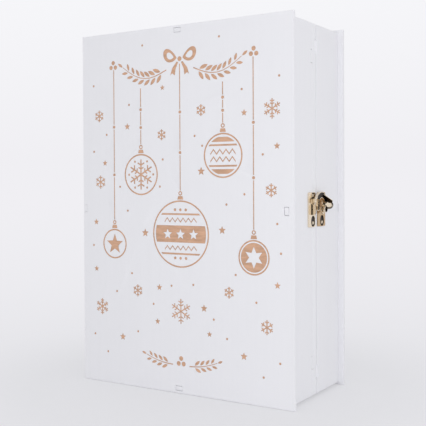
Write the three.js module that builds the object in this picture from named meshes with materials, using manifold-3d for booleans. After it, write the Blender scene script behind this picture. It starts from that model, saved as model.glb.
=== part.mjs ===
// A book-shaped advent calendar of thin painted boards: two shallow halves hinged at the spine.
// The back half holds a slotted rack with 24 drawers, the front half a lit winter scene.
// Millimetres. X runs from the spine to the fore edge, Y from front to back and Z up.
// Every piece is drawn with the spine's outer face at X = 0, the seam's middle at Y = 0
// and the covers' lower edges at Z = 0. The whole is then moved so that its base centre is the origin.

import * as THREE from "three";
import { mergeVertices } from "three/addons/utils/BufferGeometryUtils.js";
import Module from "manifold-3d";

const wasm = await Module();
wasm.setup();

// Covers, walls and the seam
const coverWidth = 202;
const coverHeight = 295;
const coverThickness = 3;
const wallThickness = 3.5;
const foreOverhang = 4.6;
const endOverhang = 2;
const frontDepth = 48.4;
const backDepth = 45.3;
const seamGap = 0.8;
const tabLength = 6;
const tabClearance = 0.2;
const seatGap = 0.3;

// Rim of the front half, with its tabs and the finger notches across the seam
const rimThickness = 6;
const rimTabLength = 10;
const rimTabDepth = 3;
const rimTabEndDistance = 28;
const fingerNotchLength = 10.2;
const fingerNotchDepth = 1.8;
const fingerNotchReach = 1.2;
const fingerNotchEndDistance = 19.4;

// Drawer rack and drawers
const columns = 4;
const rows = 6;
const slatThickness = 3;
const slatSlotClearance = 0.2;
const drawerSideGap = 0.7;
const drawerTopGap = 0.9;
const drawerRearGap = 0.4;
const drawerWall = 2;
const drawerFloor = 2;
const rackSetback = 0.6;
const knobRadius = 3.2;
const knobNeckRadius = 1.6;
const knobNeckLength = 1.3;
const knobLength = 3.5;
const knobFaceChamfer = 1;
const knobEdgeChamfer = 0.6;
const knobSeamGap = 0.7;
const numberStep = 7;
const numberStart = 3;

// Winter scene layers, from the cover towards the seam
const layerThickness = 2;
const wireSpace = 2.4;
const layerSpacing = 2;
const caseCutGap = 0.5;
const lampCut = { outer: 5.4, inner: 2.6 };

// Firs: distance from the scene's middle, foot, height and width
const firs = [
  { across: -74.7, base: 54, height: 118, width: 38 },
  { across: -48.7, base: 52, height: 92, width: 32 },
  { across: -22.7, base: 50, height: 128, width: 40 },
  { across: 5.3, base: 50, height: 100, width: 34 },
  { across: 31.3, base: 50, height: 84, width: 30 },
  { across: 57.3, base: 52, height: 112, width: 36 },
  { across: 77.3, base: 54, height: 90, width: 28 },
];
const forestSnow = { left: 66, middle: 58, right: 68 };

// Houses: left edge from the scene's middle, width, eaves and ridge heights, rows and columns of windows
const houses = [
  { left: -86.7, width: 34, eaves: 78, ridge: 98, windowRows: 2, windowColumns: 3 },
  { left: -44.7, width: 36, eaves: 84, ridge: 108, windowRows: 2, windowColumns: 3 },
  { left: -8.7, width: 17, eaves: 112, ridge: 146, windowRows: 3, windowColumns: 1 },
  { left: 17.3, width: 32, eaves: 76, ridge: 94, windowRows: 2, windowColumns: 3 },
  { left: 55.3, width: 28, eaves: 90, ridge: 112, windowRows: 3, windowColumns: 2 },
];
const villageSnow = { left: 52, middle: 46, right: 54 };
const houseBase = 40;
const eaveOverhang = 2;
const windowBase = 56;
const windowWidth = 5;
const windowHeight = 7;
const windowPitch = 13;

// Lamp string, with each lamp's distance from the middle of the scene across and up
const wireRadius = 0.6;
const lampRadius = 2;
const lampBaseDepth = 0.5;
const lampReach = 0.5;
const wireSocketDepth = 1.2;
const wireSocketRadius = 1.1;
const wireRise = 4;
const lampOffsets = [
  [47.3, -77.5],
  [77.3, -51.5],
  [49.3, -15.5],
  [79.3, 18.5],
  [57.3, 56.5],
  [77.3, 100.5],
  [37.3, 114.5],
  [13.3, 76.5],
  [-10.7, 116.5],
  [-42.7, 86.5],
  [-72.7, 110.5],
  [-64.7, 58.5],
];

// Battery case with its lid, rails and switch
const caseForeGap = 8.4;
const caseWall = 1.5;
const cellLength = 44.5;
const cellRadius = 5.25;
const cellNubLength = 1;
const cellNubRadius = 1.9;
const cellGap = 0.5;
const contactSpace = 5.5;
const switchBayLength = 13.5;
const switchWidth = 7.4;
const switchHeight = 7;
const switchDepth = 6.6;
const switchGap = 0.3;
const switchTravel = 3.4;
const switchStand = 1.1;
const switchRidgeInset = 1;
const lidThickness = 1.2;
const railThickness = 1;
const railLip = 1.2;
const railLipThickness = 0.85;
const lidSideGap = 0.25;
const gripRibs = 3;
const gripRibWidth = 1.2;
const gripRibHeight = 0.5;
const gripRibPitch = 2.6;

// Spine hinges
const hingeEndDistance = 60;
const hingeLeafHeight = 25;
const hingeLeafWidth = 12;
const hingeLeafThickness = 0.8;
const hingeStandoff = 0.3;
const barrelRadius = 2;
const pinRadius = 0.8;
const runningClearance = 0.08;
const knuckleGap = 0.3;
const middleKnuckle = 8.4;
const leafBarrelGap = 0.4;
const tongueStart = 0.5;

// Swing-hook latch on the fore edge
const latchHeight = 147.5;
const plateHeight = 27;
const plateThickness = 0.8;
const plateCorner = 1.2;
const keeperWidth = 12.5;
const keeperSeamDistance = 3.7;
const latchPlateWidth = 14.4;
const latchPlateSeamDistance = 0.7;
const catchReach = 4.7;
const catchThickness = 0.8;
const catchHeight = 9.5;
const catchRise = 4;
const catchSeamDistance = 7.6;
const rivetSeamDistance = 5.6;
const rivetRise = 0.1;
const rivetRadius = 1.1;
const rivetHoleGap = 0.3;
const rivetCollarRadius = 2.3;
const rivetCollarLength = 1.5;
const rivetHeadRadius = 2.5;
const rivetHeadLength = 2.2;
const hookThickness = 0.9;
const hookSideGap = 0.3;
const hookBore = rivetRadius + runningClearance;
const hookHubRadius = 2.8;
const hookArch = { y: -4.6, z: 0.7, outer: 11.9, inner: 8.2, from: 32, to: 176 };
const hookCatchGap = 0.6;
const hookNotchLength = 3;
const hookWeb = { y: 1.9, z: 3, length: 8, width: 4.2, angle: 57 };
const thumb = { y: 4.1, z: 4.4, length: 5.4, thickness: 0.9, angle: 59, reach: 9.2 };
const releaseAngle = 14;

// Number of sides of round shapes
const fineSides = 16;
const smallSides = 12;
const wireSides = 8;
const wireSteps = 80;
const arcSteps = 6;
const cornerSteps = 3;
const pastFace = 1;

// Planes worked out from the sizes above
const frontSeam = -seamGap / 2;
const frontOuter = frontSeam - frontDepth;
const frontInner = frontOuter + coverThickness;
const rimBack = frontSeam - rimThickness;
const backSeam = seamGap / 2;
const backOuter = backSeam + backDepth;
const backInner = backOuter - coverThickness;
const foreOuter = coverWidth - foreOverhang;
const foreInner = foreOuter - wallThickness;
const spineInner = wallThickness;
const topOuter = coverHeight - endOverhang;
const topInner = topOuter - wallThickness;
const bottomOuter = endOverhang;
const bottomInner = bottomOuter + wallThickness;
const catchTop = latchHeight + catchRise;
const rivetHeight = latchHeight + rivetRise;

// Materials
const materials = {
  paintedBoard: paint(0xeceaf0, 0.55),
  bareBoard: paint(0xd9b98c, 0.75),
  sceneBoard: paint(0xf2efe8, 0.7),
  brass: new THREE.MeshStandardMaterial({ color: 0xd8b45a, roughness: 0.3, metalness: 1 }),
  casePlastic: paint(0xf0f0ee, 0.4),
  switchPlastic: paint(0x26262a, 0.5),
  cellWrap: paint(0x3c5a46, 0.4),
  lamp: paint(0xffdf9e, 0.25),
};

function paint(color, roughness) {
  return new THREE.MeshStandardMaterial({ color, roughness, metalness: 0 });
}

// Solids from three.js geometries

function solidFrom(geometry) {
  const bare = new THREE.BufferGeometry();
  bare.setAttribute("position", geometry.getAttribute("position"));
  bare.setIndex(geometry.index);
  const merged = mergeVertices(bare);
  const corners = [];
  for (let i = 0; i < merged.index.count; i += 3) {
    const face = [0, 1, 2].map((k) => merged.index.getX(i + k));
    if (new Set(face).size === 3) corners.push(...face);
  }
  const mesh = new wasm.Mesh({
    numProp: 3,
    vertProperties: merged.attributes.position.array,
    triVerts: new Uint32Array(corners),
  });
  return new wasm.Manifold(mesh);
}

function geometryFrom(solid) {
  const mesh = solid.getMesh();
  const shared = new THREE.BufferGeometry();
  shared.setAttribute("position", new THREE.BufferAttribute(mesh.vertProperties, 3));
  shared.setIndex(new THREE.BufferAttribute(mesh.triVerts, 1));
  const flat = shared.toNonIndexed();
  flat.computeVertexNormals();
  return flat;
}

// Moves each vertex by a function of its old place, so that faces land exactly on named planes.
function remap(geometry, place) {
  const corner = geometry.getAttribute("position");
  for (let i = 0; i < corner.count; i++) {
    corner.setXYZ(i, ...place(corner.getX(i), corner.getY(i), corner.getZ(i)));
  }
  return geometry;
}

function block(low, high) {
  const pick = (value, axis) => (value < 0 ? low[axis] : high[axis]);
  const cube = new THREE.BoxGeometry(1, 1, 1);
  return solidFrom(remap(cube, (x, y, z) => [pick(x, 0), pick(y, 1), pick(z, 2)]));
}

function extruded(outline, segments, place) {
  const options = { depth: 1, steps: 1, bevelEnabled: false, curveSegments: segments };
  return solidFrom(remap(new THREE.ExtrudeGeometry(outline, options), place));
}

// A prism along X whose outline holds Y and Z
function prismAlongX(outline, low, high, segments = arcSteps) {
  return extruded(outline, segments, (u, v, w) => [w < 0.5 ? low : high, u, v]);
}

// A prism along Y whose outline holds X and Z
function prismAlongY(outline, low, high, segments = arcSteps) {
  return extruded(outline, segments, (u, v, w) => [u, w < 0.5 ? high : low, v]);
}

// A turned piece: its profile lists [radius, place along the axis], from one end of the axis to the other.
function turned(profile, sides, place) {
  const points = profile.map(([radius, along]) => new THREE.Vector2(radius, along));
  return solidFrom(remap(new THREE.LatheGeometry(points, sides), place));
}

function turnedAlongX(profile, y, z, sides) {
  return turned(profile, sides, (a, along, b) => [along, y + b, z + a]);
}

function turnedAlongY(profile, x, z, sides) {
  return turned(profile, sides, (a, along, b) => [x + a, along, z + b]);
}

function turnedAlongZ(profile, x, y, sides) {
  return turned(profile, sides, (a, along, b) => [x + b, y + a, along]);
}

function rod(radius, low, high) {
  return [
    [0, low],
    [radius, low],
    [radius, high],
    [0, high],
  ];
}

// A hole's radius that keeps its clearance at the middle of each flat side
function boreFor(radius, clearance, sides) {
  return (radius + clearance) / Math.cos(Math.PI / sides);
}

function joined(solids) {
  return solids.reduce((whole, next) => whole.add(next));
}

function without(solid, cuts) {
  return cuts.reduce((rest, cut) => rest.subtract(cut), solid);
}

function mirroredHeights(endDistance) {
  return [endDistance, coverHeight - endDistance];
}

// The assembly's groups

const calendar = new THREE.Group();
const frontHalf = new THREE.Group();
const backHalf = new THREE.Group();
const latch = new THREE.Group();
calendar.add(frontHalf, backHalf);
backHalf.add(latch);

function addPiece(group, name, solid, material, place = [0, 0, 0]) {
  const mesh = new THREE.Mesh(geometryFrom(solid), material);
  mesh.name = name;
  mesh.position.set(...place);
  group.add(mesh);
  return mesh;
}

// Walls, with the span of each in X and Z and its tab's span

const tabMiddleX = foreOuter / 2;
const tabMiddleZ = coverHeight / 2;
const tabAcross = [tabMiddleX - tabLength / 2, tabMiddleX + tabLength / 2];
const tabUpright = [tabMiddleZ - tabLength / 2, tabMiddleZ + tabLength / 2];
const walls = [
  { name: "top_wall", x: [spineInner, foreInner], z: [topInner, topOuter], tabX: tabAcross },
  { name: "bottom_wall", x: [spineInner, foreInner], z: [bottomOuter, bottomInner], tabX: tabAcross },
  { name: "fore_wall", x: [foreInner, foreOuter], z: [bottomOuter, topOuter], tabZ: tabUpright },
  { name: "spine_wall", x: [0, spineInner], z: [bottomOuter, topOuter], tabZ: tabUpright },
];

function tabSpan(wall) {
  return { x: wall.tabX ?? wall.x, z: wall.tabZ ?? wall.z };
}

function wallSolid(wall, boardSpan, tabSpanY) {
  const tab = tabSpan(wall);
  const board = block([wall.x[0], boardSpan[0], wall.z[0]], [wall.x[1], boardSpan[1], wall.z[1]]);
  return board.add(block([tab.x[0], tabSpanY[0], tab.z[0]], [tab.x[1], tabSpanY[1], tab.z[1]]));
}

function coverSolid(low, high) {
  const slots = walls.map((wall) => {
    const tab = tabSpan(wall);
    return block(
      [tab.x[0] - tabClearance, low - pastFace, tab.z[0] - tabClearance],
      [tab.x[1] + tabClearance, high + pastFace, tab.z[1] + tabClearance],
    );
  });
  return without(block([0, low, 0], [coverWidth, high, coverHeight]), slots);
}

// Finger notches cut into both halves at the fore edge's seam
function fingerNotches(low, high) {
  return mirroredHeights(fingerNotchEndDistance).map((middle) =>
    block(
      [foreOuter - fingerNotchReach, low, middle - fingerNotchLength / 2],
      [foreOuter + pastFace, high, middle + fingerNotchLength / 2],
    ),
  );
}

function rimTabs(grow) {
  const sides = [
    [foreInner, foreOuter],
    [0, spineInner],
  ];
  return sides.flatMap(([left, right]) =>
    mirroredHeights(rimTabEndDistance).map((middle) =>
      block(
        [left - pastFace * Math.sign(grow), rimBack - rimTabDepth - grow, middle - rimTabLength / 2 - grow],
        [right + pastFace * Math.sign(grow), rimBack + grow, middle + rimTabLength / 2 + grow],
      ),
    ),
  );
}

function addFrontBox() {
  addPiece(frontHalf, "front_cover", coverSolid(frontOuter, frontInner), materials.paintedBoard);
  for (const wall of walls) {
    const whole = wallSolid(wall, [frontInner, rimBack], [frontOuter, frontInner]);
    const solid = wall.tabZ ? without(whole, rimTabs(tabClearance)) : whole;
    addPiece(frontHalf, "front_" + wall.name, solid, materials.paintedBoard);
  }
  const ring = block([0, rimBack, bottomOuter], [foreOuter, frontSeam, topOuter]).subtract(
    block([spineInner, rimBack - pastFace, bottomInner], [foreInner, frontSeam + pastFace, topInner]),
  );
  const notched = without(ring, fingerNotches(frontSeam - fingerNotchDepth, frontSeam + pastFace));
  addPiece(frontHalf, "front_rim", joined([notched, ...rimTabs(0)]), materials.paintedBoard);
}

function addBackBox() {
  addPiece(backHalf, "back_cover", coverSolid(backInner, backOuter), materials.paintedBoard);
  for (const wall of walls) {
    const whole = wallSolid(wall, [backSeam, backInner], [backInner, backOuter]);
    const cuts = fingerNotches(backSeam - pastFace, backSeam + fingerNotchDepth);
    const solid = wall.name === "fore_wall" ? without(whole, cuts) : whole;
    addPiece(backHalf, "back_" + wall.name, solid, materials.paintedBoard);
  }
}

// The rack: slats that cross in half-depth slots

const cellWidth = (foreInner - spineInner - (columns - 1) * slatThickness) / columns;
const cellHeight = (topInner - bottomInner - (rows - 1) * slatThickness) / rows;
const drawerFront = backSeam + knobSeamGap + knobLength;
const rackFront = drawerFront + rackSetback;
const rackBack = backInner - seatGap;
const rackMiddle = (rackFront + rackBack) / 2;

const cellLeft = (column) => spineInner + column * (cellWidth + slatThickness);
const cellBottom = (row) => bottomInner + row * (cellHeight + slatThickness);
const uprightLeft = (index) => cellLeft(index) + cellWidth;
const shelfBottom = (index) => cellBottom(index) + cellHeight;

function addRack() {
  const uprights = Array.from({ length: columns - 1 }, (_, index) => uprightLeft(index));
  const shelves = Array.from({ length: rows - 1 }, (_, index) => shelfBottom(index));
  const slot = slatThickness + slatSlotClearance;
  uprights.forEach((left, index) => {
    const board = block(
      [left, rackFront, bottomInner + seatGap],
      [left + slatThickness, rackBack, topInner - seatGap],
    );
    const slots = shelves.map((bottom) =>
      block(
        [left - pastFace, rackFront - pastFace, bottom - slatSlotClearance],
        [left + slatThickness + pastFace, rackMiddle + seatGap / 2, bottom + slot],
      ),
    );
    addPiece(backHalf, "rack_upright_" + (index + 1), without(board, slots), materials.bareBoard);
  });
  shelves.forEach((bottom, index) => {
    const board = block(
      [spineInner + seatGap, rackFront, bottom],
      [foreInner - seatGap, rackBack, bottom + slatThickness],
    );
    const slots = uprights.map((left) =>
      block(
        [left - slatSlotClearance, rackMiddle - seatGap / 2, bottom - pastFace],
        [left + slot, rackBack + pastFace, bottom + slatThickness + pastFace],
      ),
    );
    addPiece(backHalf, "rack_shelf_" + (index + 1), without(board, slots), materials.bareBoard);
  });
}

// Drawers: open trays with a turned knob, numbered in a mixed order

function drawerSolid() {
  const halfWidth = cellWidth / 2 - drawerSideGap;
  const height = cellHeight - seatGap - drawerTopGap;
  const depth = rackBack - drawerRearGap - drawerFront;
  const inside = block(
    [drawerWall - halfWidth, drawerWall, drawerFloor],
    [halfWidth - drawerWall, depth - drawerWall, height + pastFace],
  );
  const tray = block([-halfWidth, 0, 0], [halfWidth, depth, height]).subtract(inside);
  const knob = turnedAlongY(
    [
      [0, -knobLength],
      [knobRadius - knobFaceChamfer, -knobLength],
      [knobRadius, knobEdgeChamfer - knobLength],
      [knobRadius, -knobNeckLength],
      [knobNeckRadius, -knobNeckLength],
      [knobNeckRadius, drawerWall / 2],
      [0, drawerWall / 2],
    ],
    0,
    height / 2,
    smallSides,
  );
  return tray.add(knob);
}

function addDrawers() {
  const solid = drawerSolid();
  for (let row = 0; row < rows; row++) {
    for (let column = 0; column < columns; column++) {
      const cell = row * columns + column;
      const number = ((cell * numberStep + numberStart) % (rows * columns)) + 1;
      const name = "drawer_" + String(number).padStart(2, "0");
      const middle = cellLeft(column) + cellWidth / 2;
      addPiece(backHalf, name, solid, materials.bareBoard, [middle, drawerFront, cellBottom(row) + seatGap]);
    }
  }
}

// The winter scene's frame and its lamps

const sceneLeft = spineInner + seatGap;
const sceneRight = foreInner - seatGap;
const sceneBottom = bottomInner + seatGap;
const sceneTop = topInner - seatGap;
const sceneMiddleX = (sceneLeft + sceneRight) / 2;
const sceneMiddleZ = (sceneBottom + sceneTop) / 2;
const lampPlaces = lampOffsets.map(([across, up]) => [sceneMiddleX + across, sceneMiddleZ + up]);

// The battery case lies on the bottom wall against the front cover

const lidLength = 2 * caseWall + cellLength + contactSpace;
const cavityHeight = 4 * cellRadius + 3 * cellGap;
const caseRight = foreInner - caseForeGap;
const caseLeft = caseRight - lidLength - switchBayLength;
const caseBottom = bottomInner;
const caseTop = caseBottom + cavityHeight + 2 * caseWall;
const caseFloor = frontInner + caseWall;
const cellAxisY = caseFloor + seatGap + cellRadius;
const caseMouth = cellAxisY + cellRadius + seatGap;
const lidBack = caseMouth + seatGap;
const lidFront = lidBack + lidThickness;
const lipBack = lidFront + lidSideGap;
const lipFront = lipBack + railLipThickness;
const pocketLeft = caseLeft + lidLength + (switchBayLength - switchWidth) / 2 - switchGap;
const pocketHeight = switchHeight + switchTravel + 2 * switchGap;
const pocketBottom = (caseBottom + caseTop - pocketHeight) / 2;

function railSolid(outer, inward) {
  const side = [outer, outer + inward * railThickness].sort((a, b) => a - b);
  const lip = [outer, outer + inward * (railThickness + railLip)].sort((a, b) => a - b);
  const web = block([caseLeft, caseMouth, side[0]], [caseLeft + lidLength, lipFront, side[1]]);
  return web.add(block([caseLeft, lipBack, lip[0]], [caseLeft + lidLength, lipFront, lip[1]]));
}

function addBatteryCase() {
  const body = block([caseLeft, frontInner, caseBottom], [caseRight, caseMouth, caseTop]);
  const cavity = block(
    [caseLeft + caseWall, caseFloor, caseBottom + caseWall],
    [caseLeft + lidLength - caseWall, caseMouth + pastFace, caseTop - caseWall],
  );
  const pocket = block(
    [pocketLeft, caseMouth - switchDepth - seatGap, pocketBottom],
    [pocketLeft + switchWidth + 2 * switchGap, caseMouth + pastFace, pocketBottom + pocketHeight],
  );
  const socket = turnedAlongZ(
    rod(wireSocketRadius, caseTop - wireSocketDepth, caseTop + pastFace),
    lampPlaces[0][0],
    wireY,
    smallSides,
  );
  const rails = [railSolid(caseBottom, 1), railSolid(caseTop, -1)];
  const solid = without(joined([body, ...rails]), [cavity, pocket, socket]);
  addPiece(frontHalf, "battery_case", solid, materials.casePlastic);
}

function addBatteryLid() {
  const low = caseBottom + railThickness + lidSideGap;
  const high = caseTop - railThickness - lidSideGap;
  const plate = block([caseLeft, lidBack, low], [caseLeft + lidLength, lidFront, high]);
  const ribs = Array.from({ length: gripRibs }, (_, index) => {
    const left = caseLeft + caseWall + index * gripRibPitch;
    const middle = (caseBottom + caseTop) / 2;
    const half = cellRadius;
    return block([left, lidFront, middle - half], [left + gripRibWidth, lidFront + gripRibHeight, middle + half]);
  });
  addPiece(frontHalf, "battery_lid", joined([plate, ...ribs]), materials.casePlastic);
}

function cellSolid(direction) {
  const half = cellLength / 2;
  const shoulder = half - cellNubLength;
  const profile = [
    [0, -half],
    [cellRadius, -half],
    [cellRadius, shoulder],
    [cellNubRadius, shoulder],
    [cellNubRadius, half],
    [0, half],
  ];
  const facing = direction > 0 ? profile : profile.map(([radius, along]) => [radius, -along]).reverse();
  return turnedAlongX(facing, 0, 0, fineSides);
}

function addBatteries() {
  const middle = caseLeft + lidLength / 2;
  const lowerZ = caseBottom + caseWall + cellGap + cellRadius;
  const upperZ = caseTop - caseWall - cellGap - cellRadius;
  addPiece(frontHalf, "battery_lower", cellSolid(1), materials.cellWrap, [middle, cellAxisY, lowerZ]);
  addPiece(frontHalf, "battery_upper", cellSolid(-1), materials.cellWrap, [middle, cellAxisY, upperZ]);
}

function addSwitch() {
  const left = pocketLeft + switchGap;
  const bottom = pocketBottom + switchGap;
  const body = block(
    [left, caseMouth - switchDepth, bottom],
    [left + switchWidth, caseMouth, bottom + switchHeight],
  );
  const ridge = block(
    [left + switchRidgeInset, caseMouth, bottom + switchHeight / 3],
    [left + switchWidth - switchRidgeInset, caseMouth + switchStand, bottom + (2 * switchHeight) / 3],
  );
  addPiece(frontHalf, "light_switch", body.add(ridge), materials.switchPlastic);
}

// Winter scene: three boards between the walls, each with a cut-out round the battery case

const wireY = frontInner + wireSpace / 2;
const backboardBack = frontInner + wireSpace;
const forestBack = backboardBack + layerThickness + layerSpacing;
const villageBack = forestBack + layerThickness + layerSpacing;

function outlineOf(points) {
  return new THREE.Shape(points.map(([x, z]) => new THREE.Vector2(x, z)));
}

function starOutline(x, z, outer, inner) {
  const tips = 5;
  const points = Array.from({ length: 2 * tips }, (_, index) => {
    const radius = index % 2 ? inner : outer;
    const angle = Math.PI / 2 + (index * Math.PI) / tips;
    return [x + radius * Math.cos(angle), z + radius * Math.sin(angle)];
  });
  return outlineOf(points);
}

function withCaseCut(solid, back) {
  const cut = block(
    [caseLeft - caseCutGap, back - pastFace, bottomInner],
    [caseRight + caseCutGap, back + layerThickness + pastFace, caseTop + caseCutGap],
  );
  return solid.subtract(cut);
}

function addBackboard() {
  const front = backboardBack + layerThickness;
  const board = block([sceneLeft, backboardBack, sceneBottom], [sceneRight, front, sceneTop]);
  const stars = lampPlaces.map(([x, z]) =>
    prismAlongY(
      starOutline(x, z, lampCut.outer, lampCut.inner),
      backboardBack - pastFace,
      front + pastFace,
    ),
  );
  const solid = withCaseCut(without(board, stars), backboardBack);
  addPiece(frontHalf, "scene_backboard", solid, materials.sceneBoard);
}

// A snow field with a gently curved top edge
function snowOutline(height) {
  const quarter = (sceneRight - sceneLeft) / 4;
  const shape = new THREE.Shape();
  shape.moveTo(sceneLeft, sceneBottom);
  shape.lineTo(sceneRight, sceneBottom);
  shape.lineTo(sceneRight, height.right);
  shape.quadraticCurveTo(sceneMiddleX + quarter, height.middle, sceneMiddleX, height.middle);
  shape.quadraticCurveTo(sceneMiddleX - quarter, height.middle, sceneLeft, height.left);
  return shape;
}

// Trims a layer at the sides and the top of the scene's frame, and clear of the battery case
function framed(solid, back) {
  const low = back - pastFace;
  const high = back + layerThickness + pastFace;
  const outside = [
    block([sceneLeft - coverWidth, low, 0], [sceneLeft, high, coverHeight]),
    block([sceneRight, low, 0], [sceneRight + coverWidth, high, coverHeight]),
    block([0, low, sceneTop], [coverWidth, high, sceneTop + coverHeight]),
  ];
  return withCaseCut(without(solid, outside), back);
}

// A fir in three tiers, drawn up one side and down the other
function firOutline({ across, base, height, width }) {
  const x = sceneMiddleX + across;
  const trunk = height * 0.1;
  const right = [
    [width * 0.08, 0],
    [width * 0.08, trunk],
    [width * 0.5, trunk],
    [width * 0.24, height * 0.42],
    [width * 0.38, height * 0.42],
    [width * 0.16, height * 0.7],
    [width * 0.26, height * 0.7],
  ];
  const left = right.map(([dx, dz]) => [-dx, dz]).reverse();
  return outlineOf([...right, [0, height], ...left].map(([dx, dz]) => [x + dx, base + dz]));
}

function addForest() {
  const front = forestBack + layerThickness;
  const snow = prismAlongY(snowOutline(forestSnow), forestBack, front);
  const trees = firs.map((fir) =>
    prismAlongY(firOutline(fir), forestBack, front),
  );
  const solid = framed(joined([snow, ...trees]), forestBack);
  addPiece(frontHalf, "fir_forest_layer", solid, materials.sceneBoard);
}

function houseOutline(house) {
  const left = sceneMiddleX + house.left;
  const right = left + house.width;
  return outlineOf([
    [left, houseBase],
    [right, houseBase],
    [right, house.eaves],
    [right + eaveOverhang, house.eaves],
    [(left + right) / 2, house.ridge],
    [left - eaveOverhang, house.eaves],
    [left, house.eaves],
  ]);
}

function windowCuts(house) {
  const gap = house.width / house.windowColumns;
  const cuts = [];
  for (let row = 0; row < house.windowRows; row++) {
    for (let column = 0; column < house.windowColumns; column++) {
      const x = sceneMiddleX + house.left + gap * (column + 0.5);
      const z = windowBase + row * windowPitch;
      cuts.push(
        block(
          [x - windowWidth / 2, villageBack - pastFace, z],
          [x + windowWidth / 2, villageBack + layerThickness + pastFace, z + windowHeight],
        ),
      );
    }
  }
  return cuts;
}

function addVillage() {
  const front = villageBack + layerThickness;
  const snow = prismAlongY(snowOutline(villageSnow), villageBack, front);
  const built = houses.map((house) => prismAlongY(houseOutline(house), villageBack, front));
  const solid = without(joined([snow, ...built]), houses.flatMap(windowCuts));
  addPiece(frontHalf, "village_layer", framed(solid, villageBack), materials.sceneBoard);
}

// One wire runs from the battery case behind the backboard, with a lamp in each star

function wireSolid() {
  const start = [lampPlaces[0][0], caseTop - wireSocketDepth + seatGap];
  const route = [start, [start[0], caseTop + wireRise], ...lampPlaces];
  const curve = new THREE.CatmullRomCurve3(
    route.map(([x, z]) => new THREE.Vector3(x, wireY, z)),
    false,
    "centripetal",
  );
  const section = new THREE.Shape().absarc(0, 0, wireRadius, 0, 2 * Math.PI);
  const options = { steps: wireSteps, extrudePath: curve, curveSegments: wireSides / 2 };
  return solidFrom(new THREE.ExtrudeGeometry(section, options));
}

function lampSolid([x, z]) {
  const front = backboardBack + layerThickness + lampReach;
  const profile = [
    [0, frontInner + lampBaseDepth],
    [lampRadius, frontInner + lampBaseDepth],
    [lampRadius, front - lampRadius],
    [lampRadius * 0.7, front - lampRadius * 0.3],
    [0, front],
  ];
  return turnedAlongY(profile, x, z, smallSides);
}

function addLampString() {
  const solid = joined([wireSolid(), ...lampPlaces.map(lampSolid)]);
  addPiece(frontHalf, "led_string", solid, materials.lamp);
}

// Spine hinges: leaves on the walls' outer faces, knuckles round a fixed pin

const hingeAxisX = -hingeStandoff - barrelRadius;
const outerKnuckle = (hingeLeafHeight - middleKnuckle) / 2 - knuckleGap;

function leafSolid(side, knuckles) {
  const span = (near, far) => [side * near, side * far].sort((a, b) => a - b);
  const plate = span(barrelRadius + leafBarrelGap, hingeLeafWidth);
  const tongue = span(tongueStart, barrelRadius + leafBarrelGap);
  const half = hingeLeafHeight / 2;
  const solids = [block([-hingeLeafThickness, plate[0], -half], [0, plate[1], half])];
  for (const [low, high] of knuckles) {
    solids.push(block([-hingeLeafThickness, tongue[0], low], [0, tongue[1], high]));
    solids.push(turnedAlongZ(rod(barrelRadius, low, high), hingeAxisX, 0, fineSides));
  }
  return joined(solids);
}

function addHinges() {
  const half = hingeLeafHeight / 2;
  const middle = [[-middleKnuckle / 2, middleKnuckle / 2]];
  const outer = [
    [-half, outerKnuckle - half],
    [half - outerKnuckle, half],
  ];
  const bore = boreFor(pinRadius, runningClearance, fineSides);
  const boreRod = turnedAlongZ(rod(bore, -half, half), hingeAxisX, 0, fineSides);
  const pin = turnedAlongZ(rod(pinRadius, -half, half), hingeAxisX, 0, fineSides);
  const frontLeaf = leafSolid(-1, middle).subtract(boreRod);
  const backLeaf = leafSolid(1, outer).add(pin);
  const [lower, upper] = mirroredHeights(hingeEndDistance);
  for (const [level, height] of Object.entries({ upper, lower })) {
    addPiece(frontHalf, level + "_hinge_front_leaf", frontLeaf, materials.brass, [0, 0, height]);
    addPiece(backHalf, level + "_hinge_back_leaf", backLeaf, materials.brass, [0, 0, height]);
  }
}

// Latch: a catch on the front half and a swinging hook on the back half

const plateFront = foreOuter + plateThickness;
const rivetCollarEnd = plateFront + rivetCollarLength;
const hookInner = rivetCollarEnd + hookSideGap;
const hookOuter = hookInner + hookThickness;
const rivetHeadStart = hookOuter + hookSideGap;
const catchOuterY = -catchSeamDistance - catchThickness;

function roundedPlate(low, high) {
  const bottom = latchHeight - plateHeight / 2;
  const top = latchHeight + plateHeight / 2;
  const quarter = Math.PI / 2;
  const outline = new THREE.Shape();
  outline.absarc(high - plateCorner, bottom + plateCorner, plateCorner, -quarter, 0);
  outline.absarc(high - plateCorner, top - plateCorner, plateCorner, 0, quarter);
  outline.absarc(low + plateCorner, top - plateCorner, plateCorner, quarter, 2 * quarter);
  outline.absarc(low + plateCorner, bottom + plateCorner, plateCorner, 2 * quarter, 3 * quarter);
  return prismAlongX(outline, foreOuter, plateFront, cornerSteps);
}

function addKeeper() {
  const plate = roundedPlate(-keeperSeamDistance - keeperWidth, -keeperSeamDistance);
  const tab = block(
    [foreOuter, catchOuterY, catchTop - catchHeight],
    [foreOuter + catchReach, -catchSeamDistance, catchTop],
  );
  addPiece(frontHalf, "keeper_plate", plate.add(tab), materials.brass);
}

function addLatchPlate() {
  const plate = roundedPlate(latchPlateSeamDistance, latchPlateSeamDistance + latchPlateWidth);
  const hole = turnedAlongX(
    rod(boreFor(rivetRadius, rivetHoleGap, smallSides), foreOuter - pastFace, plateFront + pastFace),
    rivetSeamDistance,
    rivetHeight,
    smallSides,
  );
  addPiece(latch, "latch_plate", plate.subtract(hole), materials.brass);
}

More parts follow.
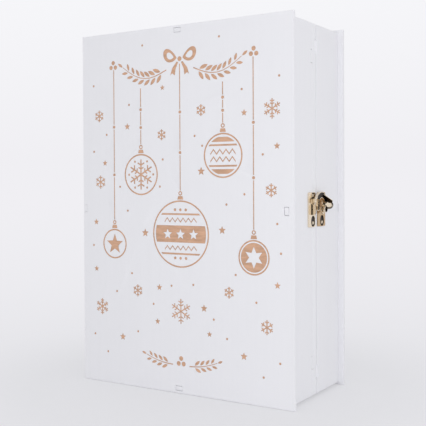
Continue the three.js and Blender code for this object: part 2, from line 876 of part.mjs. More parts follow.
function addRivet() {
  const headEnd = rivetHeadStart + rivetHeadLength;
  const profile = [
    [0, foreOuter],
    [rivetRadius, foreOuter],
    [rivetRadius, plateFront],
    [rivetCollarRadius, plateFront],
    [rivetCollarRadius, rivetCollarEnd],
    [rivetRadius, rivetCollarEnd],
    [rivetRadius, rivetHeadStart],
    [rivetHeadRadius, rivetHeadStart],
    [rivetHeadRadius, headEnd - rivetHeadLength / 3],
    [rivetHeadRadius * 0.7, headEnd],
    [0, headEnd],
  ];
  const solid = turnedAlongX(profile, rivetSeamDistance, rivetHeight, fineSides);
  addPiece(latch, "latch_rivet", solid, materials.brass);
}

// A bar with its middle, length, width and angle given in the hook's plane, about the rivet's axis
function hookBar({ y, z, length, angle }, width, outer) {
  const turn = THREE.MathUtils.degToRad(angle);
  const corners = [
    [-length / 2, -width / 2],
    [length / 2, -width / 2],
    [length / 2, width / 2],
    [-length / 2, width / 2],
  ];
  const turnedCorners = corners.map(([along, across]) => [
    y + along * Math.cos(turn) - across * Math.sin(turn),
    z + along * Math.sin(turn) + across * Math.cos(turn),
  ]);
  return prismAlongX(outlineOf(turnedCorners), hookInner, outer);
}

// The hook is drawn in its closed place, about the rivet's axis, and rests a little lifted.
function addHook() {
  const from = THREE.MathUtils.degToRad(hookArch.from);
  const to = THREE.MathUtils.degToRad(hookArch.to);
  const band = new THREE.Shape();
  band.absarc(hookArch.y, hookArch.z, hookArch.outer, from, to, false);
  band.absarc(hookArch.y, hookArch.z, hookArch.inner, to, from, true);
  const hub = turnedAlongX(rod(hookHubRadius, hookInner, hookOuter), 0, 0, fineSides);
  const bore = boreFor(hookBore, 0, fineSides);
  const hole = turnedAlongX(rod(bore, hookInner - pastFace, hookOuter + pastFace), 0, 0, fineSides);
  const notchStart = catchOuterY - hookCatchGap - rivetSeamDistance;
  const notch = block(
    [hookInner - pastFace, notchStart, -hookArch.outer],
    [hookOuter + pastFace, notchStart + hookNotchLength, catchTop + hookCatchGap - rivetHeight],
  );
  const solid = without(
    joined([
      prismAlongX(band, hookInner, hookOuter),
      hub,
      hookBar(hookWeb, hookWeb.width, hookOuter),
      hookBar(thumb, thumb.thickness, foreOuter + thumb.reach),
    ]),
    [notch, hole],
  );
  const hook = addPiece(latch, "latch_hook", solid, materials.brass, [0, rivetSeamDistance, rivetHeight]);
  hook.rotation.x = -THREE.MathUtils.degToRad(releaseAngle);
}

addFrontBox();
addBackBox();
addRack();
addDrawers();
addBackboard();
addForest();
addVillage();
addBatteryCase();
addBatteryLid();
addBatteries();
addSwitch();
addLampString();
addHinges();
addKeeper();
addLatchPlate();
addRivet();
addHook();

// The origin is the base centre of everything, from the hinge barrels to the thumb tab.
const leftmost = hingeAxisX - barrelRadius;
const rightmost = foreOuter + thumb.reach;
calendar.position.set(-(leftmost + rightmost) / 2, -(frontOuter + backOuter) / 2, 0);

export default calendar;
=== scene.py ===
"""Dresses a book-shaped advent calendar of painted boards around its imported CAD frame."""

import math

import bpy
from mathutils import Matrix, Vector


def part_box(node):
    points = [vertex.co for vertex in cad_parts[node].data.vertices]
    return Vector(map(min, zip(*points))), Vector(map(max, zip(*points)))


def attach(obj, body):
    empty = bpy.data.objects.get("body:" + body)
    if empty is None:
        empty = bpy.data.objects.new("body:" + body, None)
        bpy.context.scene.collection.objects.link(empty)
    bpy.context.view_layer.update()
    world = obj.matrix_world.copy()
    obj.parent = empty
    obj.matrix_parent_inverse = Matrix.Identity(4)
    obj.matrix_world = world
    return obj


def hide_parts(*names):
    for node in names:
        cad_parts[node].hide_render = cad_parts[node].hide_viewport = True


bl_info = {
    "name": "Advent calendar box",
    "version": (1, 0, 0),
    "blender": (4, 5, 0),
    "location": "3D View > Sidebar > Calendar",
    "description": "Builds an advent calendar's boards, brass fittings, drawers and winter scene",
    "category": "Object",
}

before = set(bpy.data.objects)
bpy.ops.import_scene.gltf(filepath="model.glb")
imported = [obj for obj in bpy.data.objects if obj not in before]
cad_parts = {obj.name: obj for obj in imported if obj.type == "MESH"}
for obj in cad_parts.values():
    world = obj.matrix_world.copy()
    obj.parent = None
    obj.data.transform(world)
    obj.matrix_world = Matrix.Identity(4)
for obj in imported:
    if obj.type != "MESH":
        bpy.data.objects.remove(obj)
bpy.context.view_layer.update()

MM = 0.001
FULL_TURN = 2 * math.pi

# Places that several pieces share, read from the CAD frame
COVER_LOW, COVER_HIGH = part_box("front_cover")
COVER_MIDDLE = (COVER_LOW + COVER_HIGH) / 2
FORE_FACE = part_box("front_fore_wall")[1].x


def linear(code):
    """Turns an sRGB hex colour into the linear colour that shaders and settings use."""
    parts = [int(code[i : i + 2], 16) / 255 for i in (1, 3, 5)]
    return tuple(p / 12.92 if p <= 0.04045 else ((p + 0.055) / 1.055) ** 2.4 for p in parts) + (1.0,)


def length(label, note, millimetres):
    """A size in the settings, given in millimetres."""
    return bpy.props.FloatProperty(
        name=label, description=note, default=millimetres * MM, min=0.0, unit="LENGTH", subtype="DISTANCE"
    )


def colour(label, note, code):
    """A colour in the settings, given as an sRGB hex value."""
    return bpy.props.FloatVectorProperty(
        name=label, description=note, default=linear(code), size=4, min=0.0, max=1.0, subtype="COLOR"
    )


class CalendarSizes(bpy.types.PropertyGroup):
    """Sizes that the frame leaves open"""

    board_edge: length("Board edge", "Rounding that the paint leaves on the boards' edges", 0.45)
    engraving_depth: length("Engraving depth", "How deep the laser cut the picture into the cover", 0.25)
    number_height: length("Number height", "Height of the numbers on the drawers", 11.0)
    knob_radius: length("Knob radius", "Radius of a drawer's knob", 3.2)
    drawer_wall: length("Drawer wall", "Thickness of a drawer's walls and floor", 2.0)
    nail_radius: length("Nail radius", "Radius of the latch nails' heads", 1.3)
    tack_radius: length("Tack radius", "Radius of the hinge tacks' heads", 1.2)
    wire_radius: length("Wire radius", "Radius of the lamp string's wire", 0.55)


class CalendarColours(bpy.types.PropertyGroup):
    """Colours of the finishes"""

    paint: colour("Paint", "White lacquer on the boards", "#E8E8EC")
    engraving: colour("Engraving", "Wood that the laser laid bare", "#D2A88C")
    birch: colour("Birch", "Bare birch plywood", "#E4CBA4")
    charred: colour("Charred edge", "Edge that the laser cut", "#8A5B3A")
    scene_white: colour("Scene white", "White stain on the winter scene", "#F1EEE8")
    brass: colour("Brass", "Pale brass plating", "#F1E2CA")
    # A deeper gold that the code gives to the whole of the hook's plate.
    rubbed_brass: colour("Rubbed brass", "Deeper gold where the plating is worn", "#C6AA84")
    # Dark brown painted on the latch's hole sides, edges, groove and hollows, and on a sheet behind the
    # holes, as painted shade and painted dark reflections.
    burnished: colour("Burnished steel", "Darkened steel in the latch's nail holes", "#31251A")
    white_plastic: colour("White plastic", "Battery case and lid", "#EEEDEA")
    black_plastic: colour("Black plastic", "Light switch", "#28282B")
    sleeve: colour("Sleeve", "Shrink sleeve of the batteries", "#3F6650")
    floor: colour("Floor", "Seamless paper that takes the box's shadow", "#F0F0F3")
    # The tone the camera sees on the paper near the box, painted darker than the far paper as painted shade.
    floor_near: colour("Near floor", "Paper as it is seen round the box", "#E1E1E5")
    backdrop: colour("Backdrop", "Seamless paper far behind the box", "#F0EFF3")
    backdrop_top: colour("Backdrop top", "Backdrop above the box", "#F6F6F9")
    daylight: colour("Daylight", "Plain light from all sides", "#E2E2E2")
    felt: colour("Felt", "Dark flag that the brass mirrors", "#3A302A")


class CalendarSettings(bpy.types.PropertyGroup):
    """All settings of the calendar"""

    sizes: bpy.props.PointerProperty(type=CalendarSizes)
    colours: bpy.props.PointerProperty(type=CalendarColours)


def sizes():
    return bpy.context.scene.calendar.sizes


def colours():
    return bpy.context.scene.calendar.colours


# Work in edit and object mode

MERGE_DISTANCE = 0.002 * MM
SLIVER_LENGTH = 0.0005 * MM
FLAT_BELOW = math.radians(0.5)
SHARP_ABOVE = math.radians(30)
SMOOTH_BELOW = math.radians(50)
TURNED_SMOOTH_BELOW = math.radians(35)
FACING = {"X": (math.pi / 2, 0, math.pi / 2), "Y": (math.pi / 2, 0, 0), "Z": (0, 0, 0)}


def new_object(name, data):
    """Puts an object with its data into the scene."""
    made = bpy.data.objects.new(name, data)
    bpy.context.scene.collection.objects.link(made)
    return made


def pick(piece):
    """Makes one object the only selected one, in object mode."""
    active = bpy.context.view_layer.objects.active
    if active is not None and active.mode != "OBJECT":
        bpy.ops.object.mode_set(mode="OBJECT")
    bpy.ops.object.select_all(action="DESELECT")
    piece.select_set(True)
    bpy.context.view_layer.objects.active = piece


def edit_faces(piece, wanted=None):
    """Opens a piece in edit mode with all faces selected, or those that wanted(centre, normal) names."""
    pick(piece)
    mesh = piece.data
    for part in (mesh.vertices, mesh.edges):
        for item in part:
            item.select = False
    for face in mesh.polygons:
        face.select = wanted is None or wanted(face.center, face.normal)
    bpy.ops.object.mode_set(mode="EDIT")
    bpy.ops.mesh.select_mode(type="FACE")


def close_edit():
    bpy.ops.object.mode_set(mode="OBJECT")


def tidy_mesh(piece):
    """Merges doubles and turns the faces outwards, as a spun or filled shape needs."""
    edit_faces(piece)
    bpy.ops.mesh.remove_doubles(threshold=MERGE_DISTANCE)
    bpy.ops.mesh.normals_make_consistent(inside=False)
    close_edit()


def drop_slivers(piece):
    """Closes the hair cracks and takes out the faces without area that a cut can leave."""
    edit_faces(piece)
    bpy.ops.mesh.fill_holes(sides=4)
    bpy.ops.mesh.dissolve_degenerate(threshold=SLIVER_LENGTH)
    close_edit()


def apply_transform():
    bpy.ops.object.transform_apply(location=True, rotation=True, scale=True)


def place(piece, at, turn=(0, 0, 0), scale=1.0):
    """Moves a piece's mesh and leaves its object at the origin."""
    pick(piece)
    piece.location = at
    piece.rotation_euler = turn
    piece.scale = (scale,) * 3
    apply_transform()


def modify(piece, kind, **settings):
    """Adds a modifier to a piece, sets it up and applies it."""
    pick(piece)
    bpy.ops.object.modifier_add(type=kind)
    modifier = piece.modifiers[-1]
    for name, value in settings.items():
        setattr(modifier, name, value)
    bpy.ops.object.modifier_apply(modifier=modifier.name)


def shade_flats(piece):
    """Shades roundings smooth and keeps flats flat."""
    pick(piece)
    bpy.ops.object.shade_smooth_by_angle(angle=SMOOTH_BELOW)
    modify(piece, "WEIGHTED_NORMAL", keep_sharp=True)


def soften(piece, width, segments=2):
    """Rounds the sharp edges."""
    modify(piece, "BEVEL", width=width, segments=segments, limit_method="ANGLE", angle_limit=SHARP_ABOVE)
    shade_flats(piece)


def join(pieces, name):
    """Joins pieces into the first one."""
    pick(pieces[0])
    for piece in pieces[1:]:
        piece.select_set(True)
    bpy.ops.object.join()
    pieces[0].name = name
    return pieces[0]


def cut_into(piece, cutter):
    """Cuts a drawn shape out of a piece. The cut faces take the second of the piece's finishes."""
    cutter.data.materials.clear()
    for material in piece.data.materials:
        cutter.data.materials.append(material)
    for face in cutter.data.polygons:
        face.material_index = 1
    modify(piece, "BOOLEAN", operation="DIFFERENCE", solver="EXACT", object=cutter)
    bpy.data.objects.remove(cutter)
    shade_flats(piece)


def finish_where(piece, finish, wanted):
    """Gives a second finish to the faces that wanted(centre, normal) names."""
    piece.data.materials.append(finish)
    for face in piece.data.polygons:
        face.material_index = int(wanted(face.center, face.normal))


def frame_copy(node, name, *finishes):
    """A merged copy of a CAD node's mesh, to round or to engrave, with its finishes."""
    copy = new_object(name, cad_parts[node].data.copy())
    copy.data.materials.clear()
    edit_faces(copy)
    bpy.ops.mesh.remove_doubles(threshold=MERGE_DISTANCE)
    bpy.ops.mesh.dissolve_limited(angle_limit=FLAT_BELOW)
    close_edit()
    for finish in finishes:
        copy.data.materials.append(finish)
    return copy


def softened_copy(node, name, width, *finishes):
    """A CAD node's copy with rounded edges."""
    copy = frame_copy(node, name, *finishes)
    soften(copy, width)
    return copy


def add_line(curve, points):
    """Adds a line of straight steps through points to a curve."""
    line = curve.splines.new("POLY")
    line.points.add(len(points) - 1)
    for point, at in zip(line.points, points):
        point.co = (*at, 1)
    return line


def as_mesh(name, curve):
    """A curve's shape as the mesh of a new object."""
    pick(new_object(name, curve))
    bpy.ops.object.convert(target="MESH")
    return bpy.context.object


def drawn_plate(name, outlines, low, high, facing, finish=None):
    """A plate cut from closed outlines in millimetres, where an inner outline is a hole.
    Facing Y, an outline holds X and Z, and facing X it holds Y and Z."""
    drawing = bpy.data.curves.new(name, "CURVE")
    drawing.dimensions = "2D"
    drawing.fill_mode = "BOTH"
    drawing.extrude = (high - low) / MM / 2
    for outline in outlines:
        add_line(drawing, [(across, up, 0) for across, up in outline]).use_cyclic_u = True
    plate = as_mesh(name, drawing)
    middle = (low + high) / 2
    at = {"X": (middle, 0, 0), "Y": (0, middle, 0), "Z": (0, 0, middle)}[facing]
    place(plate, at, FACING[facing], MM)
    tidy_mesh(plate)
    if finish:
        plate.data.materials.append(finish)
    return plate


def drawn_wire(name, points, radius=0.0):
    """A line through points, as a round wire where it has a radius."""
    line = bpy.data.curves.new(name, "CURVE")
    line.dimensions = "3D"
    line.bevel_depth = radius
    line.bevel_resolution = 2
    line.use_fill_caps = radius > 0
    add_line(line, points)
    return as_mesh(name, line)


def wire_piece(name, points, radius, finish):
    """A round wire with its finish."""
    piece = drawn_wire(name, points, radius)
    tidy_mesh(piece)
    bpy.ops.object.shade_smooth_by_angle(angle=SMOOTH_BELOW)
    piece.data.materials.append(finish)
    return piece


def turned(name, profile, centre, axis, finish, steps):
    """Spins a profile of (radius, place along the axis) points, in millimetres, round an axis."""
    piece = drawn_wire(name, [(radius, 0, along) for radius, along in profile])
    bpy.ops.object.mode_set(mode="EDIT")
    bpy.ops.mesh.select_all(action="SELECT")
    bpy.ops.mesh.spin(steps=steps, angle=FULL_TURN, center=(0, 0, 0), axis=(0, 0, 1))
    close_edit()
    upright = Vector((0, 0, 1)).rotation_difference(Vector(axis))
    place(piece, centre, upright.to_euler(), MM)
    tidy_mesh(piece)
    bpy.ops.object.shade_smooth_by_angle(angle=TURNED_SMOOTH_BELOW)
    piece.data.materials.append(finish)
    return piece


def hand_in(piece, body, slot, *nodes):
    """Lets a finished piece ride on its body and stand for its nodes. Its slot is not used."""
    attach(piece, body)
    if nodes:
        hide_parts(*nodes)


# Finishes

EVEN = (1, 1, 1)
NOISE_ROUGHNESS = 0.55
NOISE_SPAN = (0.3, 0.7)


def add_node(tree, kind, inputs=(), **settings):
    """Adds a shader node, sets its properties, and sets or links its inputs."""
    node = tree.nodes.new(kind)
    for name, value in settings.items():
        setattr(node, name, value)
    for socket, value in dict(inputs).items():
        if isinstance(value, bpy.types.NodeSocket):
            tree.links.new(value, node.inputs[socket])
        else:
            node.inputs[socket].default_value = value
    return node


def new_tree(owner):
    """The empty shader tree of a new material or world."""
    owner.use_nodes = True
    owner.node_tree.nodes.clear()
    return owner.node_tree


def between(tree, value, start, end, low=0.0, high=1.0, **settings):
    """A value that runs from low to high while another one runs from a start to an end."""
    spread = {"Value": value, "From Min": start, "From Max": end, "To Min": low, "To Max": high}
    return add_node(tree, "ShaderNodeMapRange", spread, **settings).outputs["Result"]


def mixed(tree, factor, first, second):
    """Two colours mixed by a factor."""
    blend = {"Factor": factor, "A": first, "B": second}
    return add_node(tree, "ShaderNodeMix", blend, data_type="RGBA").outputs["Result"]


def maths(tree, operation, first, second):
    """Two values put together by an operation."""
    return add_node(tree, "ShaderNodeMath", {0: first, 1: second}, operation=operation).outputs["Value"]


def shades(name, *shares):
    """A colour from the settings, made darker or lighter by each of the shares."""
    tone = getattr(colours(), name)[:3]
    return [tuple(min(part * share, 1.0) for part in tone) + (1.0,) for share in shares]


def patches(tree, size, stretch=EVEN, detail=3.0):
    """Uneven patches of about a size in millimetres, drawn out along the axes whose stretch is above one."""
    place_of = add_node(tree, "ShaderNodeTexCoord").outputs["Object"]
    mapping = add_node(tree, "ShaderNodeMapping", {"Vector": place_of, "Scale": [1 / s for s in stretch]})
    scale = 0.5 / (size * MM)
    noise = {"Vector": mapping.outputs["Vector"], "Scale": scale, "Detail": detail}
    noise["Roughness"] = NOISE_ROUGHNESS
    return add_node(tree, "ShaderNodeTexNoise", noise).outputs["Fac"]


def varied_finish(name, tones, grain, sheen, roughness, relief, share=(0.35, 0.65), shader=()):
    """A finish whose colour runs between two tones as its grain rises through a share, and whose
    roughness and height follow its sheen. Grain and sheen hold a size in millimetres, and may hold a
    stretch and a detail. The relief is the height in millimetres."""
    if name in bpy.data.materials:
        return bpy.data.materials[name]
    made = bpy.data.materials.new(name)
    tree = new_tree(made)
    tone = mixed(tree, between(tree, patches(tree, *grain), *share), *tones)
    height = patches(tree, *sheen)
    rough = between(tree, height, *NOISE_SPAN, *roughness)
    normal = add_node(tree, "ShaderNodeBump", {"Height": height, "Distance": relief * MM}).outputs["Normal"]
    inputs = {"Base Color": tone, "Roughness": rough, "Normal": normal, **dict(shader)}
    surface = add_node(tree, "ShaderNodeBsdfPrincipled", inputs)
    add_node(tree, "ShaderNodeOutputMaterial", {"Surface": surface.outputs["BSDF"]})
    return made


METAL = {"Metallic": 1.0}


def sprayed_lacquer():
    """White nitro lacquer sprayed on thin board. The eye sees an even satin white with faint upright
    grain showing through and a slight orange peel of 2 mm, drawn coarser than the real 0.8 mm."""
    return varied_finish(
        "sprayed_lacquer", shades("paint", 0.992, 1), grain=(1.6, (1, 1, 40), 4), sheen=(2,),
        roughness=(0.42, 0.52), relief=0.012, shader={"IOR": 1.5},
    )


def laser_engraving():
    """Wood fibre laid bare by a laser under the lacquer. The eye sees matt tan with fine level scan
    lines of 0.8 mm, drawn coarser than the real 0.15 mm, and darker scorched spots."""
    return varied_finish(
        "laser_engraving", shades("engraving", 0.82, 1.04), grain=(0.8, (5, 1, 1), 4),
        sheen=(0.8, (8, 1, 1), 2), roughness=(0.75, 0.9), relief=0.03,
    )


def birch_plywood():
    """Rotary-cut birch veneer, sanded and left bare. The eye sees pale straw with soft level grain
    3 mm wide, some darker streaks and no gloss."""
    return varied_finish(
        "birch_plywood", shades("birch", 0.84, 1.05), grain=(1.5, (16, 1, 1), 5), sheen=(0.7, (9, 1, 1)),
        roughness=(0.6, 0.78), relief=0.05, share=(0.3, 0.62),
    )


def charred_edge():
    """Plywood edge cut by a laser. The eye sees matt brown with darker glue lines and streaks."""
    return varied_finish(
        "charred_edge", shades("charred", 0.6, 1.25), grain=(0.8, (1, 1, 3), 4), sheen=(0.8,),
        roughness=(0.7, 0.85), relief=0.04,
    )


def rack_plywood():
    """The rack's bare birch slats, whose grain runs from front to back. The eye sees the same pale
    straw as on the drawers, a little duller, with grain 3 mm wide."""
    return varied_finish(
        "rack_plywood", shades("birch", 0.8, 1), grain=(1.5, (1, 14, 1), 5), sheen=(0.7, (1, 9, 1)),
        roughness=(0.62, 0.8), relief=0.05, share=(0.3, 0.65),
    )


def stained_scene_board():
    """Birch plywood with a white water stain. The eye sees chalky white with faint upright grain
    2 mm wide and no gloss."""
    return varied_finish(
        "stained_scene_board", shades("scene_white", 0.93, 1), grain=(2, (1, 1, 25), 4),
        sheen=(0.9, (1, 1, 9)), roughness=(0.6, 0.75), relief=0.03,
    )


def stamped_brass(name, tone):
    """Stamped steel with brass plating. The eye sees satin gold whose soft reflections wave a little
    over 3 mm from the stamping, with a fine haze of handling marks."""
    return varied_finish(
        name, shades(tone, 0.96, 1), grain=(0.9,), sheen=(3, EVEN, 1), roughness=(0.17, 0.27), relief=0.06,
        shader=METAL,
    )


def plated_brass():
    """Bright brass plating. The eye sees pale satin gold."""
    return stamped_brass("plated_brass", "brass")


def rubbed_brass():
    """A deeper gold brass, which the hook's plate takes."""
    return stamped_brass("rubbed_brass", "rubbed_brass")


def burnished_steel():
    """Dark brown metal painted on the latch's hole sides, edges, groove and hollows, as painted shade and
    painted dark reflections. The eye sees dark brown metal with soft brighter clouds.
    """
    return varied_finish(
        "burnished_steel", shades("burnished", 0.45, 1), grain=(1.2,), sheen=(0.9,), roughness=(0.25, 0.4),
        relief=0.03, shader=METAL,
    )


def nickel_plate():
    """Spring steel with nickel plating. The eye sees grey-white metal with soft streaks."""
    return varied_finish(
        "nickel_plate", (linear("#B9B6AE"), linear("#CFCCC4")), grain=(0.8,), sheen=(1.5,),
        roughness=(0.22, 0.38), relief=0.02, shader=METAL,
    )


def enamelled_wire():
    """Copper wire with clear enamel. The eye sees warm pink-brown metal with a soft sheen."""
    return varied_finish(
        "enamelled_wire", (linear("#C08A63"), linear("#D9A67C")), grain=(1.5,), sheen=(1,),
        roughness=(0.26, 0.4), relief=0.01, shader=METAL,
    )


def moulded_abs(name, tone, roughness):
    """ABS from a spark-eroded mould. The eye sees one even colour with a fine 0.9 mm grit, drawn
    coarser than the real 0.2 mm, that breaks up the sheen."""
    return varied_finish(
        name, shades(tone, 0.95, 1), grain=(0.9,), sheen=(0.9, EVEN, 4), relief=0.015,
        roughness=(roughness - 0.06, roughness + 0.06), shader={"IOR": 1.53},
    )


def white_plastic():
    """White ABS with a low sheen, as the case and its lid have."""
    return moulded_abs("moulded_white_abs", "white_plastic", 0.42)


def black_plastic():
    """Black ABS, a little glossier than the white."""
    return moulded_abs("moulded_black_abs", "black_plastic", 0.38)


def shrink_sleeve():
    """PVC film shrunk round a battery. The eye sees glossy green with faint rings 2 mm wide."""
    return varied_finish(
        "shrink_sleeve", shades("sleeve", 0.88, 1.08), grain=(1.2, (1, 6, 6)), sheen=(1.5, (1, 5, 5)),
        roughness=(0.22, 0.34), relief=0.02, shader={"IOR": 1.54},
    )


def lamp_epoxy():
    """Milky epoxy cast over a warm diode. The eye sees a small glossy cream drop, yellower inside."""
    glow = {"Subsurface Weight": 0.3, "Subsurface Radius": (0.002, 0.0014, 0.0008), "Subsurface Scale": 1.0}
    return varied_finish(
        "lamp_epoxy", (linear("#F3D58C"), linear("#FBEFD2")), grain=(1.5,), sheen=(2,),
        roughness=(0.1, 0.2), relief=0.01, shader={"IOR": 1.55, **glow},
    )


def dark_felt():
    """Pressed wool. The eye sees even dark brown without gloss."""
    return varied_finish(
        "pressed_felt", shades("felt", 0.8, 1), grain=(20,), sheen=(2,), roughness=(0.9, 1), relief=0.1,
    )


# Outlines for engravings, as closed lists of (across, up) in millimetres. They keep clear of each
# other, and an outline inside another one is a hole.


def arc(centre, radius, start, end, steps):
    """Points along an arc, with its angles in degrees."""
    angles = [math.radians(start + (end - start) * i / steps) for i in range(steps + 1)]
    return [(centre[0] + radius * math.cos(a), centre[1] + radius * math.sin(a)) for a in angles]


def turned_round(outline, centre, degrees):
    """An outline turned about a place."""
    cos, sin = math.cos(math.radians(degrees)), math.sin(math.radians(degrees))
    offsets = [(x - centre[0], z - centre[1]) for x, z in outline]
    return [(centre[0] + x * cos - z * sin, centre[1] + x * sin + z * cos) for x, z in offsets]


def disc(x, z, radius, steps):
    return arc((x, z), radius, 0, 360, steps)[:-1]


def rectangle(left, bottom, right, top):
    return [(left, bottom), (right, bottom), (right, top), (left, top)]


def star(x, z, radius, points=5, waist=0.45):
    outline = []
    for i in range(2 * points):
        reach = radius if i % 2 == 0 else radius * waist
        angle = math.radians(90 + 180 * i / points)
        outline.append((x + reach * math.cos(angle), z + reach * math.sin(angle)))
    return outline


def snowflake(x, z, radius, line, twigs=(0.4, 0.66)):
    """Six arms with slanting twigs. The twigs start at shares of the radius."""
    half = line / 2
    side = [(half, half * 1.74)]
    for share in twigs:
        foot = radius * share
        reach = min((radius - foot) * 0.7, (foot - 2.2 * half) * 0.85)
        end = (half + reach * 0.866, foot + reach * 0.5)
        side += [(half, foot), end, (end[0] - line * 0.45, end[1] + line * 0.78), (half, foot + line * 1.04)]
    side.append((half, radius))
    arm = side + [(-across, up) for across, up in reversed(side)]
    outline = []
    for i in range(6):
        outline += turned_round([(x + across, z + up) for across, up in arm], (x, z), 60 * i)
    return outline


def leaf(x, z, reach, width, heading, steps=7):
    """A pointed leaf from its foot, with its heading in degrees."""
    shares = [i / steps for i in range(steps + 1)]
    upper = [(x + reach * s, z + width / 2 * math.sin(math.pi * s) ** 0.8) for s in shares]
    lower = [(x + reach * s, z - width / 2 * math.sin(math.pi * s) ** 0.8) for s in reversed(shares[1:-1])]
    return turned_round(upper + lower, (x, z), heading)


def stroke(points, width, tip=None):
    """A line drawn with a pen of one width, which may narrow to a tip."""
    left, right = [], []
    for i, (x, z) in enumerate(points):
        before, after = points[max(i - 1, 0)], points[min(i + 1, len(points) - 1)]
        run, rise = after[0] - before[0], after[1] - before[1]
        norm = math.hypot(run, rise)
        half = (width + ((tip or width) - width) * i / (len(points) - 1)) / 2
        left.append((x - rise / norm * half, z + run / norm * half))
        right.append((x + rise / norm * half, z - run / norm * half))
    return left + right[::-1]


# Places in shares of the bow's reach

BOW_TAIL = (
    (0.1, -0.2), (0.3, -0.62), (0.36, -1.0), (0.55, -0.86), (0.7, -0.98), (0.56, -0.56), (0.22, -0.16),
)


def ribbon_bow(x, z, reach):
    """A bow: a knot, two loops with their holes and two forked tails."""
    outlines = [disc(x, z, reach * 0.15, 20)]
    for side in (-1, 1):
        for share, inset in ((1.0, 0.0), (0.52, 0.22)):
            loop = []
            for i in range(24):
                t = FULL_TURN * i / 24
                along = reach * (0.22 + inset + share * (1 - math.cos(t)) / 2)
                across = reach * 0.5 * share * math.sin(t) * math.sin(t / 2) ** 0.7
                loop.append((x + side * along, z + across + along * 0.3))
            outlines.append(loop)
        outlines.append([(x + side * reach * a, z + reach * b) for a, b in BOW_TAIL])
    return outlines


def leafy_branch(points, reach, width, lean):
    """A stem with a pair of leaves at each point after the first, and one leaf at its end."""
    outlines = [stroke(points, 0.9, 0.5)]
    for i in range(1, len(points) - 1):
        (x, z), (after_x, after_z) = points[i], points[i + 1]
        heading = math.degrees(math.atan2(after_z - z, after_x - x))
        for side in (-1, 1):
            foot = turned_round([(x + 1.1, z)], (x, z), heading + side * 90)[0]
            share = 1 - 0.35 * i / len(points)
            outlines.append(leaf(*foot, reach * share, width * share, heading + side * lean))
    (x, z), (end_x, end_z) = points[-2:]
    heading = math.degrees(math.atan2(end_z - z, end_x - x))
    foot = turned_round([(end_x + 0.6, end_z)], (end_x, end_z), heading)[0]
    outlines.append(leaf(*foot, reach * 0.7, width * 0.7, heading))
    return outlines


def band_across(x, z, radius, low, high):
    """The part of a disc between two heights."""
    first, last = math.degrees(math.asin(low / radius)), math.degrees(math.asin(high / radius))
    return arc((x, z), radius, first, last, 10) + arc((x, z), radius, 180 - last, 180 - first, 10)


def zigzag(x, z, reach, height, teeth, line):
    """A level zigzag line."""
    step = reach / teeth
    heights = [z + (height if i % 2 else -height) / 2 + line / 2 for i in range(2 * teeth + 1)]
    upper = [(x - reach + i * step, up) for i, up in enumerate(heights)]
    return upper + [(across, up - line) for across, up in reversed(upper)]


def hung_bauble(x, z, radius, top):
    """A bauble's rim, cap and eye, with a beaded string up to a height."""
    cap = z + radius + 0.6
    outlines = [disc(x, z, radius, 64), disc(x, z, radius - 1.2, 64)]
    outlines.append([(x - 2.8, cap), (x + 2.8, cap), (x + 2.1, cap + 2.8), (x - 2.1, cap + 2.8)])
    outlines += [disc(x, cap + 5.0, 1.8, 20), disc(x, cap + 5.0, 0.9, 14)]
    start = cap + 7.2
    beads = [start + (top - start) * share for share in (0.3, 0.62)]
    stops = [start] + [edge for bead in beads for edge in (bead - 2.0, bead + 2.0)] + [top]
    for low, high in zip(stops[::2], stops[1::2]):
        outlines.append(rectangle(x - 0.42, low, x + 0.42, high))
    return outlines + [disc(x, bead, 1.3, 16) for bead in beads]


def berries(x, z, radius, places):
    return [disc(x + across, z + up, radius, 18) for across, up in places]


PICTURE_MIDDLE = 101
BOW_UP, BOW_REACH = 268, 13
GARLAND_UP, GARLAND_SAG, GARLAND_STEP, GARLAND_RISE = 260, 9, 5.5, 0.9


def garland():
    """Leafy branches that hang in two swags from a bow in the middle, with berries at their ends."""
    outlines = ribbon_bow(PICTURE_MIDDLE, BOW_UP, BOW_REACH)
    for side in (-1, 1):
        points = []
        for i in range(9):
            sag = GARLAND_SAG * math.sin(math.pi * min(i / 8.6, 1))
            across = PICTURE_MIDDLE + side * (BOW_REACH + GARLAND_STEP * i)
            points.append((across, GARLAND_UP - sag + i * GARLAND_RISE))
        outlines += leafy_branch(points, 8.4, 3.2, 38)
        end_x, end_z = points[-1]
        outlines += berries(end_x + side * 10.5, end_z + 2.4, 1.8, ((0, 2.4), (-2.3, -1.5), (2.3, -1.5)))
    return outlines


def starred_bauble(x, z, radius, top):
    """The big bauble: a band of stars between stripes, zigzags and dots."""
    inside = radius - 2.8
    outlines = hung_bauble(x, z, radius, top)
    outlines.append(band_across(x, z, inside, -6.8, 6.8))
    outlines += [star(x + step, z - 0.3, 4.4) for step in (-12.5, 0, 12.5)]
    for side in (-1, 1):
        outlines.append(zigzag(x, z + side * 11.2, 15.4, 3.2, 6, 1.2))
        low, high = sorted((side * 15.2, side * 16.6))
        outlines.append(band_across(x, z, inside, low, high))
        outlines += [disc(x + step, z + side * 19.4, 1.2, 14) for step in (-5.2, 0, 5.2)]
    return outlines


def flaked_bauble(x, z, radius, top):
    """A bauble with a snowflake and six dots."""
    outlines = hung_bauble(x, z, radius, top) + [snowflake(x, z, radius - 4.6, 1.25, (0.34, 0.6))]
    dots = arc((x, z), radius - 4.6, 60, 420, 6)[:-1]
    return outlines + [disc(a, b, 0.95, 12) for a, b in dots]


def waved_bauble(x, z, radius, top):
    """A bauble with two zigzags between solid ends."""
    inside = radius - 2.6
    outlines = hung_bauble(x, z, radius, top)
    outlines += [zigzag(x, z + shift, 11.4, 3.6, 4, 1.4) for shift in (2.9, -2.9)]
    for side in (-1, 1):
        low, high = sorted((side * 7.4, side * 8.8))
        outlines.append(band_across(x, z, inside, low, high))
        low, high = sorted((side * 10.6, side * (inside - 0.6)))
        outlines.append(band_across(x, z, inside, low, high))
    return outlines


def single_star_bauble(x, z, radius, top):
    """A small bauble with one star."""
    return hung_bauble(x, z, radius, top) + [star(x, z - 0.4, radius - 3.6, 5, 0.42)]


